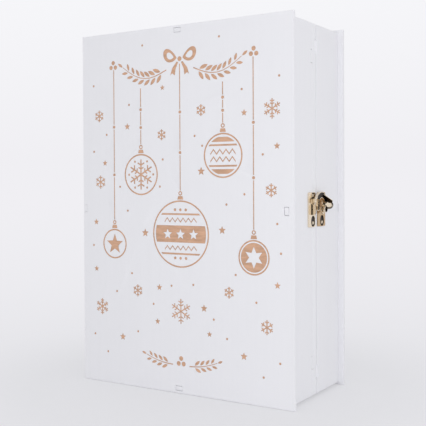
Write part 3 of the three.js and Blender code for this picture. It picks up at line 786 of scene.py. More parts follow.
def solid_bauble(x, z, radius, top):
    """A small solid bauble with a six-pointed star left white."""
    return hung_bauble(x, z, radius, top) + [disc(x, z, radius - 2.2, 48), star(x, z, radius - 5.2, 6, 0.5)]


def foot_sprigs():
    """Two leafy sprigs that meet under three berries at the foot."""
    outlines = berries(PICTURE_MIDDLE, 25.5, 1.9, ((0, 2.6), (-2.4, -1.6), (2.4, -1.6)))
    for side in (-1, 1):
        points = [(PICTURE_MIDDLE + side * (8 + 5.2 * i), 22.6 + 0.22 * i * i) for i in range(6)]
        outlines += leafy_branch(points, 6.6, 2.6, 34)
    return outlines


# The small motifs by their middles, in millimetres. Snowflakes and stars hold their radius too.

SNOWFLAKES = (
    (184, 224, 7.6), (18, 226, 5.0), (19, 170, 5.6), (183, 163, 5.2), (20, 64, 6.8), (179, 60, 5.6),
    (101, 66, 10.0), (121, 226, 4.6), (83, 208, 4.4), (58, 80, 5.0), (146, 84, 4.6),
)
STARS = (
    (48, 216, 3.0), (121, 178, 3.6), (84, 246, 2.4), (188, 196, 2.8), (66, 128, 3.6), (140, 132, 3.4),
    (14, 136, 2.8), (42, 40, 3.2), (159, 36, 3.2), (80, 84, 2.8), (123, 70, 3.2), (188, 92, 2.8),
    (14, 96, 2.6), (78, 56, 2.6), (128, 50, 2.4), (24, 186, 2.6), (160, 222, 2.8),
)
DOTS = (
    (50, 234), (115, 206), (158, 240), (190, 248), (12, 252), (26, 210), (84, 188), (122, 198), (160, 160),
    (81, 166), (48, 146), (188, 138), (152, 98), (52, 94), (74, 70), (132, 62), (36, 78), (170, 78),
    (12, 40), (190, 34), (58, 46), (144, 48), (92, 86), (113, 88), (64, 282), (138, 282), (11, 116),
    (191, 116), (40, 166), (144, 152), (26, 26), (176, 22), (12, 196), (176, 190),
)


# Baubles by their middle, their radius and the height of their string's upper end

BAUBLES = (
    (starred_bauble, 101, 128, 27, 264),
    (flaked_bauble, 62, 176, 17, 247),
    (waved_bauble, 141, 190, 17.5, 247),
    (single_star_bauble, 34, 118, 12.5, 264),
    (solid_bauble, 168, 112, 13.5, 264),
)


def cover_picture(left_edge):
    """The engraved picture: baubles that hang from a garland, among snowflakes, stars and dots."""
    outlines = garland() + foot_sprigs()
    for bauble, x, z, radius, top in BAUBLES:
        outlines += bauble(x, z, radius, top)
    for x, z, radius in SNOWFLAKES:
        twigs = (0.4, 0.66) if radius > 6 else (0.55,)
        outlines.append(snowflake(x, z, radius, 0.95, twigs))
    outlines += [star(x, z, radius) for x, z, radius in STARS]
    outlines += [disc(x, z, 0.95, 12) for x, z in DOTS]
    return [[(across + left_edge, up) for across, up in outline] for outline in outlines]


# The pieces

WALLS = ("top_wall", "bottom_wall", "fore_wall", "spine_wall")


class CALENDAR_OT_boards(bpy.types.Operator):
    """Rounds and paints the walls, the rim and the back cover"""

    bl_idname = "calendar.boards"
    bl_label = "Boards"

    def execute(self, context):
        names = [(f"front_{wall}", "front_leaf") for wall in WALLS] + [("front_rim", "front_leaf")]
        names += [(f"back_{wall}", "back_leaf") for wall in WALLS] + [("back_cover", "back_leaf")]
        for node, body in names:
            board = softened_copy(node, f"{node}_board", sizes().board_edge, sprayed_lacquer())
            hand_in(board, body, "white_board", node)
        return {"FINISHED"}


class CALENDAR_OT_front_cover(bpy.types.Operator):
    """Rounds, paints and engraves the front cover"""

    bl_idname = "calendar.front_cover"
    bl_label = "Front cover"

    def execute(self, context):
        finishes = (sprayed_lacquer(), laser_engraving())
        cover = softened_copy("front_cover", "front_cover_board", sizes().board_edge, *finishes)
        face = COVER_LOW.y
        before = len(cover.data.polygons)
        picture = cover_picture(COVER_LOW.x / MM)
        cut_into(cover, drawn_plate("picture", picture, face - 1 * MM, face + sizes().engraving_depth, "Y"))
        if len(cover.data.polygons) <= before:
            raise RuntimeError("the picture did not cut into the front cover")
        hand_in(cover, "front_leaf", "white_board", "front_cover")
        return {"FINISHED"}


# Hinge tacks: their distances from the seam and from the leaf's middle, in millimetres

TACK_PLACES = ((3, -8.5), (5.5, 0), (3, 8.5))
LEAF_THICKNESS = 0.8 * MM
LEAF_ROUNDING = 0.15 * MM


class CALENDAR_OT_hinges(bpy.types.Operator):
    """Makes the rolled brass hinges with their pins and tacks"""

    bl_idname = "calendar.hinges"
    bl_label = "Hinges"

    def execute(self, context):
        for level in ("upper", "lower"):
            for side, inward in (("front", 1), ("back", -1)):
                node = f"{level}_hinge_{side}_leaf"
                low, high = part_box(node)
                far = low.y if side == "front" else high.y
                middle = (low.z + high.z) / 2
                parts = [softened_copy(node, f"{node}_rolled", LEAF_ROUNDING, plated_brass())]
                for across, up in TACK_PLACES:
                    at = (high.x - LEAF_THICKNESS, far + inward * across * MM, middle + up * MM)
                    parts.append(self.make_tack(at))
                hand_in(join(parts, f"{node}_with_tacks"), f"{side}_leaf", "brass", node)
        return {"FINISHED"}

    def make_tack(self, at):
        """A round-headed tack driven through the leaf."""
        radius = sizes().tack_radius / MM
        profile = [(0, 0.45), (radius * 0.5, 0.4), (radius * 0.83, 0.22), (radius, 0), (radius, -0.2)]
        return turned("tack", profile + [(0, -0.2)], at, (-1, 0, 0), plated_brass(), steps=20)


# Latch places: Y and Z in millimetres, and X as the distance from the fore wall's face. The hook's own
# outlines hold Y and Z from its pivot, as it is when it is closed.

CATCH_Y, CATCH_THICKNESS, CATCH_REACH = -8.3, 0.8, 4.0
CATCH_BOTTOM, CATCH_TOP, CATCH_CORNER, CATCH_ROUNDING = 143.4, 151.5, 2, 0.3
# The slit shows the dark sheet under the plate as a line of painted shade beside the catch.
SLIT = (CATCH_Y - 1.6, 143.6, CATCH_Y - 0.1, 151.9)
KEEPER_NAIL_Y, LATCH_NAIL_Y = -6.4, 10.3
NAIL_HEIGHTS = (158.4, 137.2)
NAIL_HOLE, OVAL_HALF_WIDTH, OVAL_CORNER, OVAL_BELOW, OVAL_ABOVE = 2.5, 3.4, 3.39, 2.9, 5.6
PLATE_THICKNESS, PLATE_CORNER, PLATE_ROUNDING = 0.8, 1.2, 0.26
SHADE_SHEET_THICKNESS, SHADE_SHEET_CORNER, SHADE_SHEET_INSET = 0.3, 1.0, 0.5
BLADE_START, BLADE_END, BLADE_ROUNDING = 2.6, 3.5, 0.24
HUB_RADIUS, HUB_HORN = 3.6, ((6.1, 5.5), (3.4, 8.0))
PIVOT_BORE, RIVET_HOLE = 1.2, 1.4
ARCH_START, ARCH_END, ARCH_ROUNDING = 2.2, 4.3, 0.4
ARCH_CENTRE = (-4.6, 0.7)
ARCH_OUTER, ARCH_INNER = 11.9, 7.2
BEAK = ((-17.3, 4.6), (-17.6, 3.9), (-17.5, 1.8), (-17.1, 1.3), (-16.4, 1.3), (-16.0, 1.8), (-16.0, 4.4))
NOTCH = ((-15.5, 5.0), (-12.4, 5.0))
TOE, TOE_RADIUS = (-10.4, -1.6), 2.0
GROOVE_EDGE, GROOVE_DEPTH, GROOVE_BEAK, GROOVE_TOE_RADIUS = 0.45, 0.6, (-11.9, 4.4), 1.5
FIN_RADIUS, FIN_CORNER, FIN_HALF_THICKNESS, FIN_ROUNDING = 11.0, 2.6, 0.35, 0.2
THUMB = (4.1, 4.4)
THUMB_LEAN = math.radians(59)
NECK_HALF_THICKNESS, NECK_HALF_WIDTH, NECK_ROUNDING = 0.4, 1.8, 0.25
PETAL_RADIUS, PETAL_RIM = 3.6, 0.4
PETAL_FACING, PETAL_SHADE_SIDE = (0.45, -0.87, 0.2), (0.8, 0.4, 0.45)
HOOK_RELEASE = math.radians(-14)
RIVET_SHANK = (
    (0, 0.8), (1.1, 0.8), (2.1, 0.8), (2.3, 1.0), (2.3, 2.1), (2.1, 2.3), (1.1, 2.3), (1.1, 3.8),
    (2.3, 3.8), (2.6, 4.0),
)
RIVET_HEAD = ((2.6, 0.5), (2.5, 0.15), (2.35, 0), (2.2, 0.1), (2.0, 0.5), (1.9, 1.3), (1.3, 1.6), (0, 1.7))


def darken(piece, wanted):
    """Paints dark brown metal, as painted shade and painted dark reflections, on the faces that
    wanted(centre, normal) names.
    """
    finish_where(piece, burnished_steel(), wanted)


def off_wall(distance):
    """A place that far in front of the fore wall."""
    return FORE_FACE + distance * MM


def round_cornered(low, high, corner):
    """A rectangle with round corners."""
    (left, bottom), (right, top) = low, high
    centres = ((right, bottom, -1, 1), (right, top, -1, -1), (left, top, 1, -1), (left, bottom, 1, 1))
    outline = []
    for i, (x, z, across, up) in enumerate(centres):
        outline += arc((x + across * corner, z + up * corner), corner, 90 * i - 90, 90 * i, 5)
    return outline


class CALENDAR_OT_latch(bpy.types.Operator):
    """Makes the swing-hook latch with its catch, rivet and nails"""

    bl_idname = "calendar.latch"
    bl_label = "Latch"

    def execute(self, context):
        latch_low, latch_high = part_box("latch_rivet")
        self.pivot = (latch_low + latch_high) / 2
        self.hook_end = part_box("latch_hook")[1].x / MM
        slit = rectangle(*SLIT)
        catch = self.make_plate("keeper_plate", KEEPER_NAIL_Y, [slit], plated_brass()) + [self.make_catch()]
        hand_in(join(catch, "catch_with_nails"), "front_leaf", "brass", "keeper_plate")
        rivet_hole = disc(self.pivot.y / MM, self.pivot.z / MM, RIVET_HOLE, 24)
        plate = self.make_plate("latch_plate", LATCH_NAIL_Y, [rivet_hole], rubbed_brass())
        hand_in(join(plate, "hook_plate_with_nails"), "back_leaf", "brass", "latch_plate")
        self.make_rivet(latch_high.x)
        self.make_hook()
        return {"FINISHED"}

    def make_plate(self, node, nail_y, more_holes, brass):
        """A stamped plate with dished nail holes, whose sides take painted shade, over a dark sheet that
        shows through the holes as painted shade, and its nails.
        """
        low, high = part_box(node)
        outer = ((low.y / MM, low.z / MM), (high.y / MM, high.z / MM))
        inner = tuple((y + s * SHADE_SHEET_INSET, z + s * SHADE_SHEET_INSET) for (y, z), s in zip(outer, (1, -1)))
        upper, lower = NAIL_HEIGHTS
        oval_low = (nail_y - OVAL_HALF_WIDTH, lower - OVAL_BELOW)
        oval_high = (nail_y + OVAL_HALF_WIDTH, lower + OVAL_ABOVE)
        outlines = [round_cornered(*outer, PLATE_CORNER), disc(nail_y, upper, NAIL_HOLE, 28)]
        outlines.append(round_cornered(oval_low, oval_high, OVAL_CORNER))
        plate = drawn_plate("plate", outlines + more_holes, FORE_FACE, off_wall(PLATE_THICKNESS), "X", brass)
        soften(plate, PLATE_ROUNDING * MM, 3)

        # The holes' sides take painted shade.
        def in_a_hole(at, normal):
            inside = low.y + MM < at.y < high.y - MM and low.z + MM < at.z < high.z - MM
            return inside and abs(normal.x) < 0.9

        darken(plate, in_a_hole)
        # A dark sheet under the plate that shows through the holes and the slit as painted shade.
        backing = [round_cornered(*inner, SHADE_SHEET_CORNER)]
        shade_sheet_end = off_wall(SHADE_SHEET_THICKNESS)
        backing = drawn_plate("backing", backing, FORE_FACE, shade_sheet_end, "X", burnished_steel())
        return [plate, backing] + [self.make_nail(nail_y, z) for z in NAIL_HEIGHTS]

    def make_nail(self, y, z):
        """A domed nail that stands in its hole."""
        radius = sizes().nail_radius / MM
        angles = [i * math.pi / 16 for i in range(9)]
        dome = [(radius * math.sin(a), 0.55 + 0.75 * math.cos(a)) for a in angles]
        profile = dome + [(radius, 0.2), (0, 0.2)]
        return turned("nail", profile, (FORE_FACE, y * MM, z * MM), (1, 0, 0), plated_brass(), steps=28)

    def make_catch(self):
        """The tab that the hook drops behind, bent out of the plate, with round outer corners."""
        start, corner_x = FORE_FACE / MM + 0.2, off_wall(CATCH_REACH) / MM - CATCH_CORNER
        outline = [(start, CATCH_BOTTOM)]
        outline += arc((corner_x, CATCH_BOTTOM + CATCH_CORNER), CATCH_CORNER, -90, 0, 8)
        outline += arc((corner_x, CATCH_TOP - CATCH_CORNER), CATCH_CORNER, 0, 90, 8) + [(start, CATCH_TOP)]
        far = (CATCH_Y + CATCH_THICKNESS) * MM
        catch = drawn_plate("catch", [outline], CATCH_Y * MM, far, "Y", plated_brass())
        soften(catch, CATCH_ROUNDING * MM, 3)
        # The tab's edges take painted shade.
        darken(catch, lambda at, normal: abs(normal.y) < 0.9)
        return catch

    def make_rivet(self, end_x):
        """The pivot rivet: a shank, a collar and a head with a hollow end."""
        end = (end_x - FORE_FACE) / MM
        profile = [*RIVET_SHANK] + [(radius, end - back) for radius, back in RIVET_HEAD]
        at = (FORE_FACE, self.pivot.y, self.pivot.z)
        rivet = turned("pivot_rivet", profile, at, (1, 0, 0), plated_brass(), steps=36)
        axis = Vector(at)
        # The rivet's hollow end takes painted shade and painted dark reflections.
        darken(rivet, lambda at, normal: (at - axis).yz.length < 2.3 * MM and at.x > off_wall(end - 2))
        hand_in(rivet, "back_leaf", "brass", "latch_rivet")

    def make_hook(self):
        """The hook, drawn closed about its pivot and then turned to where it has just let go."""
        brass = plated_brass()
        outlines = [arc((0, 0), HUB_RADIUS, 106, 370, 28) + [*HUB_HORN], disc(0, 0, PIVOT_BORE, 24)]
        blade = drawn_plate("blade", outlines, off_wall(BLADE_START), off_wall(BLADE_END), "X", brass)
        soften(blade, BLADE_ROUNDING * MM, 3)
        # The blade's edges away from the pivot take painted shade.
        darken(blade, lambda at, normal: abs(normal.x) < 0.9 and at.yz.length > 4.4 * MM)
        outline = arc(ARCH_CENTRE, ARCH_OUTER, 32, 152, 30) + [*BEAK, *NOTCH]
        outline += arc(TOE, TOE_RADIUS, 180, 350, 12) + arc(ARCH_CENTRE, ARCH_INNER, 146, 40, 24)
        arch = drawn_plate("arch", [outline], off_wall(ARCH_START), off_wall(ARCH_END), "X", brass)
        soften(arch, ARCH_ROUNDING * MM, 3)
        # The groove's cut faces take painted shade.
        arch.data.materials.append(burnished_steel())
        groove = arc(ARCH_CENTRE, ARCH_OUTER - GROOVE_EDGE, 37, 146, 32) + [GROOVE_BEAK]
        groove += arc(TOE, GROOVE_TOE_RADIUS, 180, 350, 12)
        groove += arc(ARCH_CENTRE, ARCH_INNER + GROOVE_EDGE, 144, 42, 32)
        floor, clear = off_wall(ARCH_END - GROOVE_DEPTH), off_wall(ARCH_END + 1)
        cut_into(arch, drawn_plate("groove", [groove], floor, clear, "X"))
        hook = join([blade, arch, self.make_fin(brass)] + self.make_thumb(brass), "swing_hook")
        drop_slivers(hook)
        place(hook, (0, self.pivot.y, self.pivot.z), (HOOK_RELEASE, 0, 0))
        hand_in(hook, "latch_hook", "brass", "latch_hook")

    def make_fin(self, brass):
        """The fin that rises out of the arch's end and backs the thumb piece, with painted shade on its
        hollow side.
        """
        foot, end = (Vector(arc(ARCH_CENTRE, FIN_RADIUS, angle, angle, 1)[0]) for angle in (80, 30))
        run, slope = (end - foot).length, math.atan2(end.y - foot.y, end.x - foot.x)
        low, corner = off_wall(3.0) / MM, (self.hook_end - FIN_CORNER, run - 2.4)
        outline = [(low, 0), (low + 0.8, 0)] + arc(corner, FIN_CORNER, 60, -10, 8)[::-1] + [(low, run)]
        half = FIN_HALF_THICKNESS * MM
        fin = drawn_plate("fin", [outline], -half, half, "Z", brass)
        soften(fin, FIN_ROUNDING * MM)
        # The fin's underside takes painted shade.
        darken(fin, lambda at, normal: normal.z < -0.5)
        place(fin, (0, foot.x * MM, foot.y * MM), (slope, 0, 0))
        return fin

    def make_thumb(self, brass):
        """The thumb piece: a neck that leaves the blade and a dished round petal that faces the thumb."""
        radius = PETAL_RADIUS
        facing = Vector(PETAL_FACING).normalized()
        reach = radius * math.sqrt(1 - facing.x**2)
        centre_x = self.hook_end - reach - 0.2
        start = off_wall(BLADE_START + 0.2) / MM
        outline = rectangle(start, -NECK_HALF_WIDTH, centre_x - 1.1, NECK_HALF_WIDTH)
        half = NECK_HALF_THICKNESS * MM
        neck = drawn_plate("neck", [outline], -half, half, "Z", brass)
        soften(neck, NECK_ROUNDING * MM, 3)
        place(neck, (0, THUMB[0] * MM, THUMB[1] * MM), (THUMB_LEAN, 0, 0))
        angles = [i * math.pi / 8 for i in range(9)]
        rim = [(radius - PETAL_RIM + PETAL_RIM * math.sin(a), 0.1 + PETAL_RIM * math.cos(a)) for a in angles]
        dish = [(0, -0.15), (1.5, -0.1), (2.4, 0.1)] + rim + [(2.2, -0.4), (0, -0.75)]
        middle = Vector((centre_x, *THUMB)) * MM
        petal = turned("petal", dish, middle, facing, brass, steps=36)
        shade_side = Vector(PETAL_SHADE_SIDE)

        # The petal's rim and one side take painted shade and painted dark reflections.
        def near_the_edge(at, normal):
            out = at - middle
            return out.cross(facing).length > (radius - 0.25) * MM or out.dot(shade_side) > (radius - 0.9) * MM

        darken(petal, near_the_edge)
        return [neck, petal]


SLAT_ROUNDING, TRAY_ROUNDING = 0.15 * MM, 0.2 * MM


class CALENDAR_OT_rack(bpy.types.Operator):
    """Finishes the slotted drawer rack with charred front edges"""

    bl_idname = "calendar.rack"
    bl_label = "Rack"

    def execute(self, context):
        for node in [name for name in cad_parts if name.startswith("rack_")]:
            slat = frame_copy(node, f"{node}_slat", rack_plywood())
            finish_where(slat, charred_edge(), lambda centre, normal: abs(normal.y) > 0.5)
            soften(slat, SLAT_ROUNDING, segments=1)
            hand_in(slat, "back_leaf", "bare_board", node)
        return {"FINISHED"}


# The drawers' fronts. The number's cutter is drawn twice as thick as its half, with its middle ahead of
# the front. Heights are shares of the front's.

CUTTER_HALF, CUTTER_AHEAD, TAB_BURN_DEPTH = 0.6, 0.42 * MM, 0.12 * MM
NUMBER_HEIGHT = 0.79
TAB_STARTS, TAB_SHARE = (0.12, 0.62), 0.26
TAB_ENDS = (0.3, 2.2)


class CALENDAR_OT_drawers(bpy.types.Operator):
    """Makes the numbered drawers with their knobs"""

    bl_idname = "calendar.drawers"
    bl_label = "Drawers"

    def execute(self, context):
        low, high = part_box("drawer_01")
        self.size = high - low
        self.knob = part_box("rack_upright_1")[0].y - low.y - 0.6 * MM
        tray, knob = self.make_tray(), self.make_knob()
        for number in range(1, 25):
            node = f"drawer_{number:02d}"
            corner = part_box(node)[0]
            drawer = self.copy_to(corner, tray, f"tray_{number:02d}")
            self.burn_front(drawer, number, corner)
            join([drawer, self.copy_to(corner, knob, "knob_copy")], drawer.name)
            shade_flats(drawer)
            hand_in(drawer, node, "bare_board", node)
        for piece in (tray, knob):
            bpy.data.objects.remove(piece)
        return {"FINISHED"}

    def copy_to(self, corner, piece, name):
        """A copy of the tray or of the knob at a drawer's corner. The knob joins its drawer after the
        cuts, because its foot stands in the front and a cut through both could lose it."""
        copy = new_object(name, piece.data.copy())
        place(copy, corner)
        return copy

    def make_tray(self):
        """One drawer with its lowest corner at the origin, hollowed and rounded."""
        wall, size, low = sizes().drawer_wall, self.size, Vector((0, self.knob, 0))
        bpy.ops.mesh.primitive_cube_add(size=1, location=(low + size) / 2, scale=size - low)
        apply_transform()
        tray = bpy.context.object
        tray.name = "tray"
        edit_faces(tray, lambda centre, normal: normal.z > 0.9)
        bpy.ops.mesh.inset(thickness=wall, depth=0)
        bpy.ops.mesh.extrude_region_move(TRANSFORM_OT_translate={"value": (0, 0, wall - size.z)})
        close_edit()
        tray.data.materials.append(birch_plywood())
        finish_where(tray, charred_edge(), lambda centre, normal: normal.z > 0.9 and centre.z > size.z / 2)
        soften(tray, TRAY_ROUNDING)
        return tray

    def make_knob(self):
        """A turned knob: a flat face with a step, a waist and a foot in the front."""
        radius, out = sizes().knob_radius / MM, self.knob / MM
        profile = [(0, out), (radius * 0.55, out), (radius * 0.88, out - 0.3), (radius, out - 0.9)]
        profile += [(radius * 0.95, out - 1.6), (radius * 0.66, out - 2.1), (1.6, out - 2.5)]
        profile += [(1.6, -0.6), (0, -0.6)]
        at = (self.size.x / 2, self.knob, self.size.z / 2)
        return turned("knob", profile, at, (0, -1, 0), birch_plywood(), steps=28)

    def burn_front(self, drawer, number, corner):
        """The number and the side boards' tab ends, burnt into the front."""
        front = corner.y + self.knob
        bpy.ops.object.text_add()
        drawing = bpy.context.object.data
        drawing.body = str(number)
        drawing.align_x = "CENTER"
        drawing.align_y = "CENTER"
        drawing.size = sizes().number_height / MM
        drawing.extrude = CUTTER_HALF
        drawing.resolution_u = 4
        bpy.ops.object.convert(target="MESH")
        text = bpy.context.object
        middle = corner + Vector((self.size.x / 2, 0, self.size.z * NUMBER_HEIGHT))
        place(text, (middle.x, front - CUTTER_AHEAD, middle.z), FACING["Y"], MM)
        tidy_mesh(text)
        cut_into(drawer, text)
        drop_slivers(drawer)
        left, right = corner.x / MM, (corner.x + self.size.x) / MM
        near, far = TAB_ENDS
        tabs = []
        for share in TAB_STARTS:
            low, high = (corner.z / MM + self.size.z / MM * s for s in (share, share + TAB_SHARE))
            tabs.append(rectangle(left + near, low, left + far, high))
            tabs.append(rectangle(right - far, low, right - near, high))
        cut_into(drawer, drawn_plate("tab_ends", tabs, front - 0.5 * MM, front + TAB_BURN_DEPTH, "Y"))


# Winter scene places: X from the scene's middle and Z from the ground, in millimetres. A house holds its
# left side, width, eaves, ridge, rows and columns of windows, and a fir its middle, base, height and width.

SCENE_MIDDLE = sum(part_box("scene_backboard"), Vector()).x / 2 / MM
HOUSES = (
    (-86.7, 34, 78, 98, 2, 3), (-44.7, 36, 84, 108, 2, 3), (-8.7, 17, 112, 146, 3, 1),
    (17.3, 32, 76, 94, 2, 3), (55.3, 28, 90, 112, 3, 2),
)
FIRS = (
    (-74.7, 54, 118, 38), (-48.7, 52, 92, 32), (-22.7, 50, 128, 40), (5.3, 50, 100, 34),
    (31.3, 50, 84, 30), (57.3, 52, 112, 36), (77.3, 54, 90, 28),
)
GARLAND_SHARES = ((0.34, 0.22), (0.6, 0.14), (0.82, 0.07))
TILE_SHARES = (0.22, 0.48, 0.74)
SKY_DOTS = (
    (-80, 226), (-62, 190), (-30, 232), (-8, 246), (8, 196), (34, 222), (44, 184), (66, 208),
    (72, 142), (-60, 272), (20, 274), (60, 276), (-18, 206), (84, 190), (-86, 196),
)
SKY_FLAKES = ((-46, 214), (22, 240), (58, 232), (-84, 248), (5, 270))
MARK_DEPTH = 0.2 * MM
SCENE_ROUNDING = 0.12
WINDOW_LOWEST, WINDOW_STEP = 56, 13
WINDOW_HALF_WIDTH, WINDOW_HALF_HEIGHT, BAR_HALF_WIDTH = 2.5, 3.5, 0.4
LAMP_OFFSETS = (
    (47.3, -77.5), (77.3, -51.5), (49.3, -15.5), (79.3, 18.5), (57.3, 56.5), (77.3, 100.5),
    (37.3, 114.5), (13.3, 76.5), (-10.7, 116.5), (-42.7, 86.5), (-72.7, 110.5), (-64.7, 58.5),
)
WIRE_INSET, WIRE_RISE = 0.6, (-0.9, 4)


class CALENDAR_OT_winter_scene(bpy.types.Operator):
    """Makes the starry board, the firs and the village"""

    bl_idname = "calendar.winter_scene"
    bl_label = "Winter scene"

    def execute(self, context):
        layers = (
            ("scene_backboard", "starry_board", self.sky_marks(), SCENE_ROUNDING),
            ("fir_forest_layer", "forest_board", self.fir_marks(), 0),
            ("village_layer", "village_board", self.house_marks(), SCENE_ROUNDING),
        )
        for node, name, marks, rounding in layers:
            low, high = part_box(node)
            layer = frame_copy(node, name, stained_scene_board())
            finish_where(layer, charred_edge(), lambda centre, normal: abs(normal.y) <= 0.5)
            if rounding:
                soften(layer, rounding * MM, segments=1)
            cut_into(layer, drawn_plate("marks", marks, high.y - MARK_DEPTH, high.y + 1 * MM, "Y"))
            if node == "village_layer":
                back, front = low.y + 0.5 * MM, high.y - 0.5 * MM
                bars = drawn_plate("window_bars", self.window_bars(), back, front, "Y", stained_scene_board())
                layer = join([layer, bars], name)
            drop_slivers(layer)
            hand_in(layer, "front_leaf", "scene_board", node)
        return {"FINISHED"}

    def sky_marks(self):
        """Snow dots and snowflakes between the lamp holes."""
        marks = [disc(SCENE_MIDDLE + x, z, 1.1, 12) for x, z in SKY_DOTS]
        return marks + [snowflake(SCENE_MIDDLE + x, z, 6.5, 0.9) for x, z in SKY_FLAKES]

    def fir_marks(self):
        """Curved garlands across the firs' tiers."""
        marks = []
        for across, base, height, width in FIRS:
            for share, reach in GARLAND_SHARES:
                up, half = base + height * share, width * reach
                line = [(SCENE_MIDDLE + across + half * t / 3, up + 2.4 * t * t / 9) for t in range(-3, 4)]
                marks.append(stroke(line, 0.9))
        return marks

    def house_marks(self):
        """A line under the eaves and rows of tiles on each roof."""
        marks = []
        for left, width, eaves, ridge, _, _ in HOUSES:
            x = SCENE_MIDDLE + left
            for share in TILE_SHARES:
                up = eaves + (ridge - eaves) * share
                half = (width / 2 + 2) * (1 - share) - 2.2
                if half > 1.5:
                    marks.append(rectangle(x + width / 2 - half, up - 0.4, x + width / 2 + half, up + 0.4))
            marks.append(rectangle(x + 0.6, eaves - 1.4, x + width - 0.6, eaves - 0.6))
        return marks

    def window_bars(self):
        """Glazing bars that cross in every window."""
        half, across, up = BAR_HALF_WIDTH, WINDOW_HALF_WIDTH, WINDOW_HALF_HEIGHT
        corner = [(half, half), (half, up), (-half, up), (-half, half), (-across, half), (-across, -half)]
        cross = corner + [(-a, -b) for a, b in corner]
        bars = []
        for left, width, _, _, rows, columns in HOUSES:
            for i in range(rows * columns):
                x = SCENE_MIDDLE + left + width / columns * (i % columns + 0.5)
                z = WINDOW_LOWEST + i // columns * WINDOW_STEP + up
                bars.append([(x + a, z + b) for a, b in cross])
        return bars


def partway(first, last, start, end, at):
    """The place at a time between two places that are reached at their times, or beyond them."""
    return first + (last - first) * ((at - start) / (end - start))


def smooth_route(points, steps):
    """A smooth curve through points, with times that grow with the square root of each step."""
    padded = [points[0] * 2 - points[1]] + points + [points[-1] * 2 - points[-2]]
    route = []
    for a, b, c, d in zip(padded, padded[1:], padded[2:], padded[3:]):
        t_b = math.sqrt((b - a).length)
        t_c = t_b + math.sqrt((c - b).length)
        t_d = t_c + math.sqrt((d - c).length)
        for step in range(steps):
            at = t_b + (t_c - t_b) * step / steps
            near = partway(b, c, t_b, t_c, at)
            before = partway(partway(a, b, 0, t_b, at), near, 0, t_c, at)
            after = partway(near, partway(c, d, t_c, t_d, at), t_b, t_d, at)
            route.append(partway(before, after, t_b, t_c, at))
    return route + [points[-1]]


class CALENDAR_OT_lamp_string(bpy.types.Operator):
    """Makes the wire and its twelve lamps"""

    bl_idname = "calendar.lamp_string"
    bl_label = "Lamp string"

    def execute(self, context):
        low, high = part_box("led_string")
        case_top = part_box("battery_case")[1].z
        wire_y = low.y + WIRE_INSET * MM
        places = [((x + SCENE_MIDDLE) * MM, COVER_MIDDLE.z + z * MM) for x, z in LAMP_OFFSETS]
        rise = [(places[0][0], case_top + up * MM) for up in WIRE_RISE]
        route = smooth_route([Vector((x, wire_y, z)) for x, z in rise + places], 10)
        wire = wire_piece("lamp_wire", route, sizes().wire_radius, enamelled_wire())
        hand_in(wire, "front_leaf", "lamp_string", "led_string")
        base = COVER_HIGH.y + 0.5 * MM
        reach = (high.y - base) / MM
        profile = [(0, 0), (1.7, 0), (2.0, 0.3), (2.0, reach - 2.0), (1.85, reach - 1.2), (1.4, reach - 0.5)]
        profile += [(0.7, reach - 0.1), (0, reach)]
        drops = [turned("lamp", profile, (x, base, z), (0, 1, 0), lamp_epoxy(), steps=20) for x, z in places]
        hand_in(join(drops, "lamp_drops"), "front_leaf", "lamp_string", "led_string")
        return {"FINISHED"}


# Battery contacts, in millimetres. The contact room is the space between a battery's end and the case.

CONTACT_ROOM, CONTACT_THICKNESS = 2.75, 0.45
CONTACT_GAP = CONTACT_ROOM - CONTACT_THICKNESS
CONTACT_HALF_WIDTH, CONTACT_HALF_HEIGHT, CONTACT_CORNER = 3.6, 4.2, 0.8
SPRING_TURNS, SPRING_STEPS = 3, 14
SPRING_WIRE, SPRING_WIDE, SPRING_NARROWING = 0.22, 3.4, 1.6
MOULDED_ROUNDING = 0.18 * MM


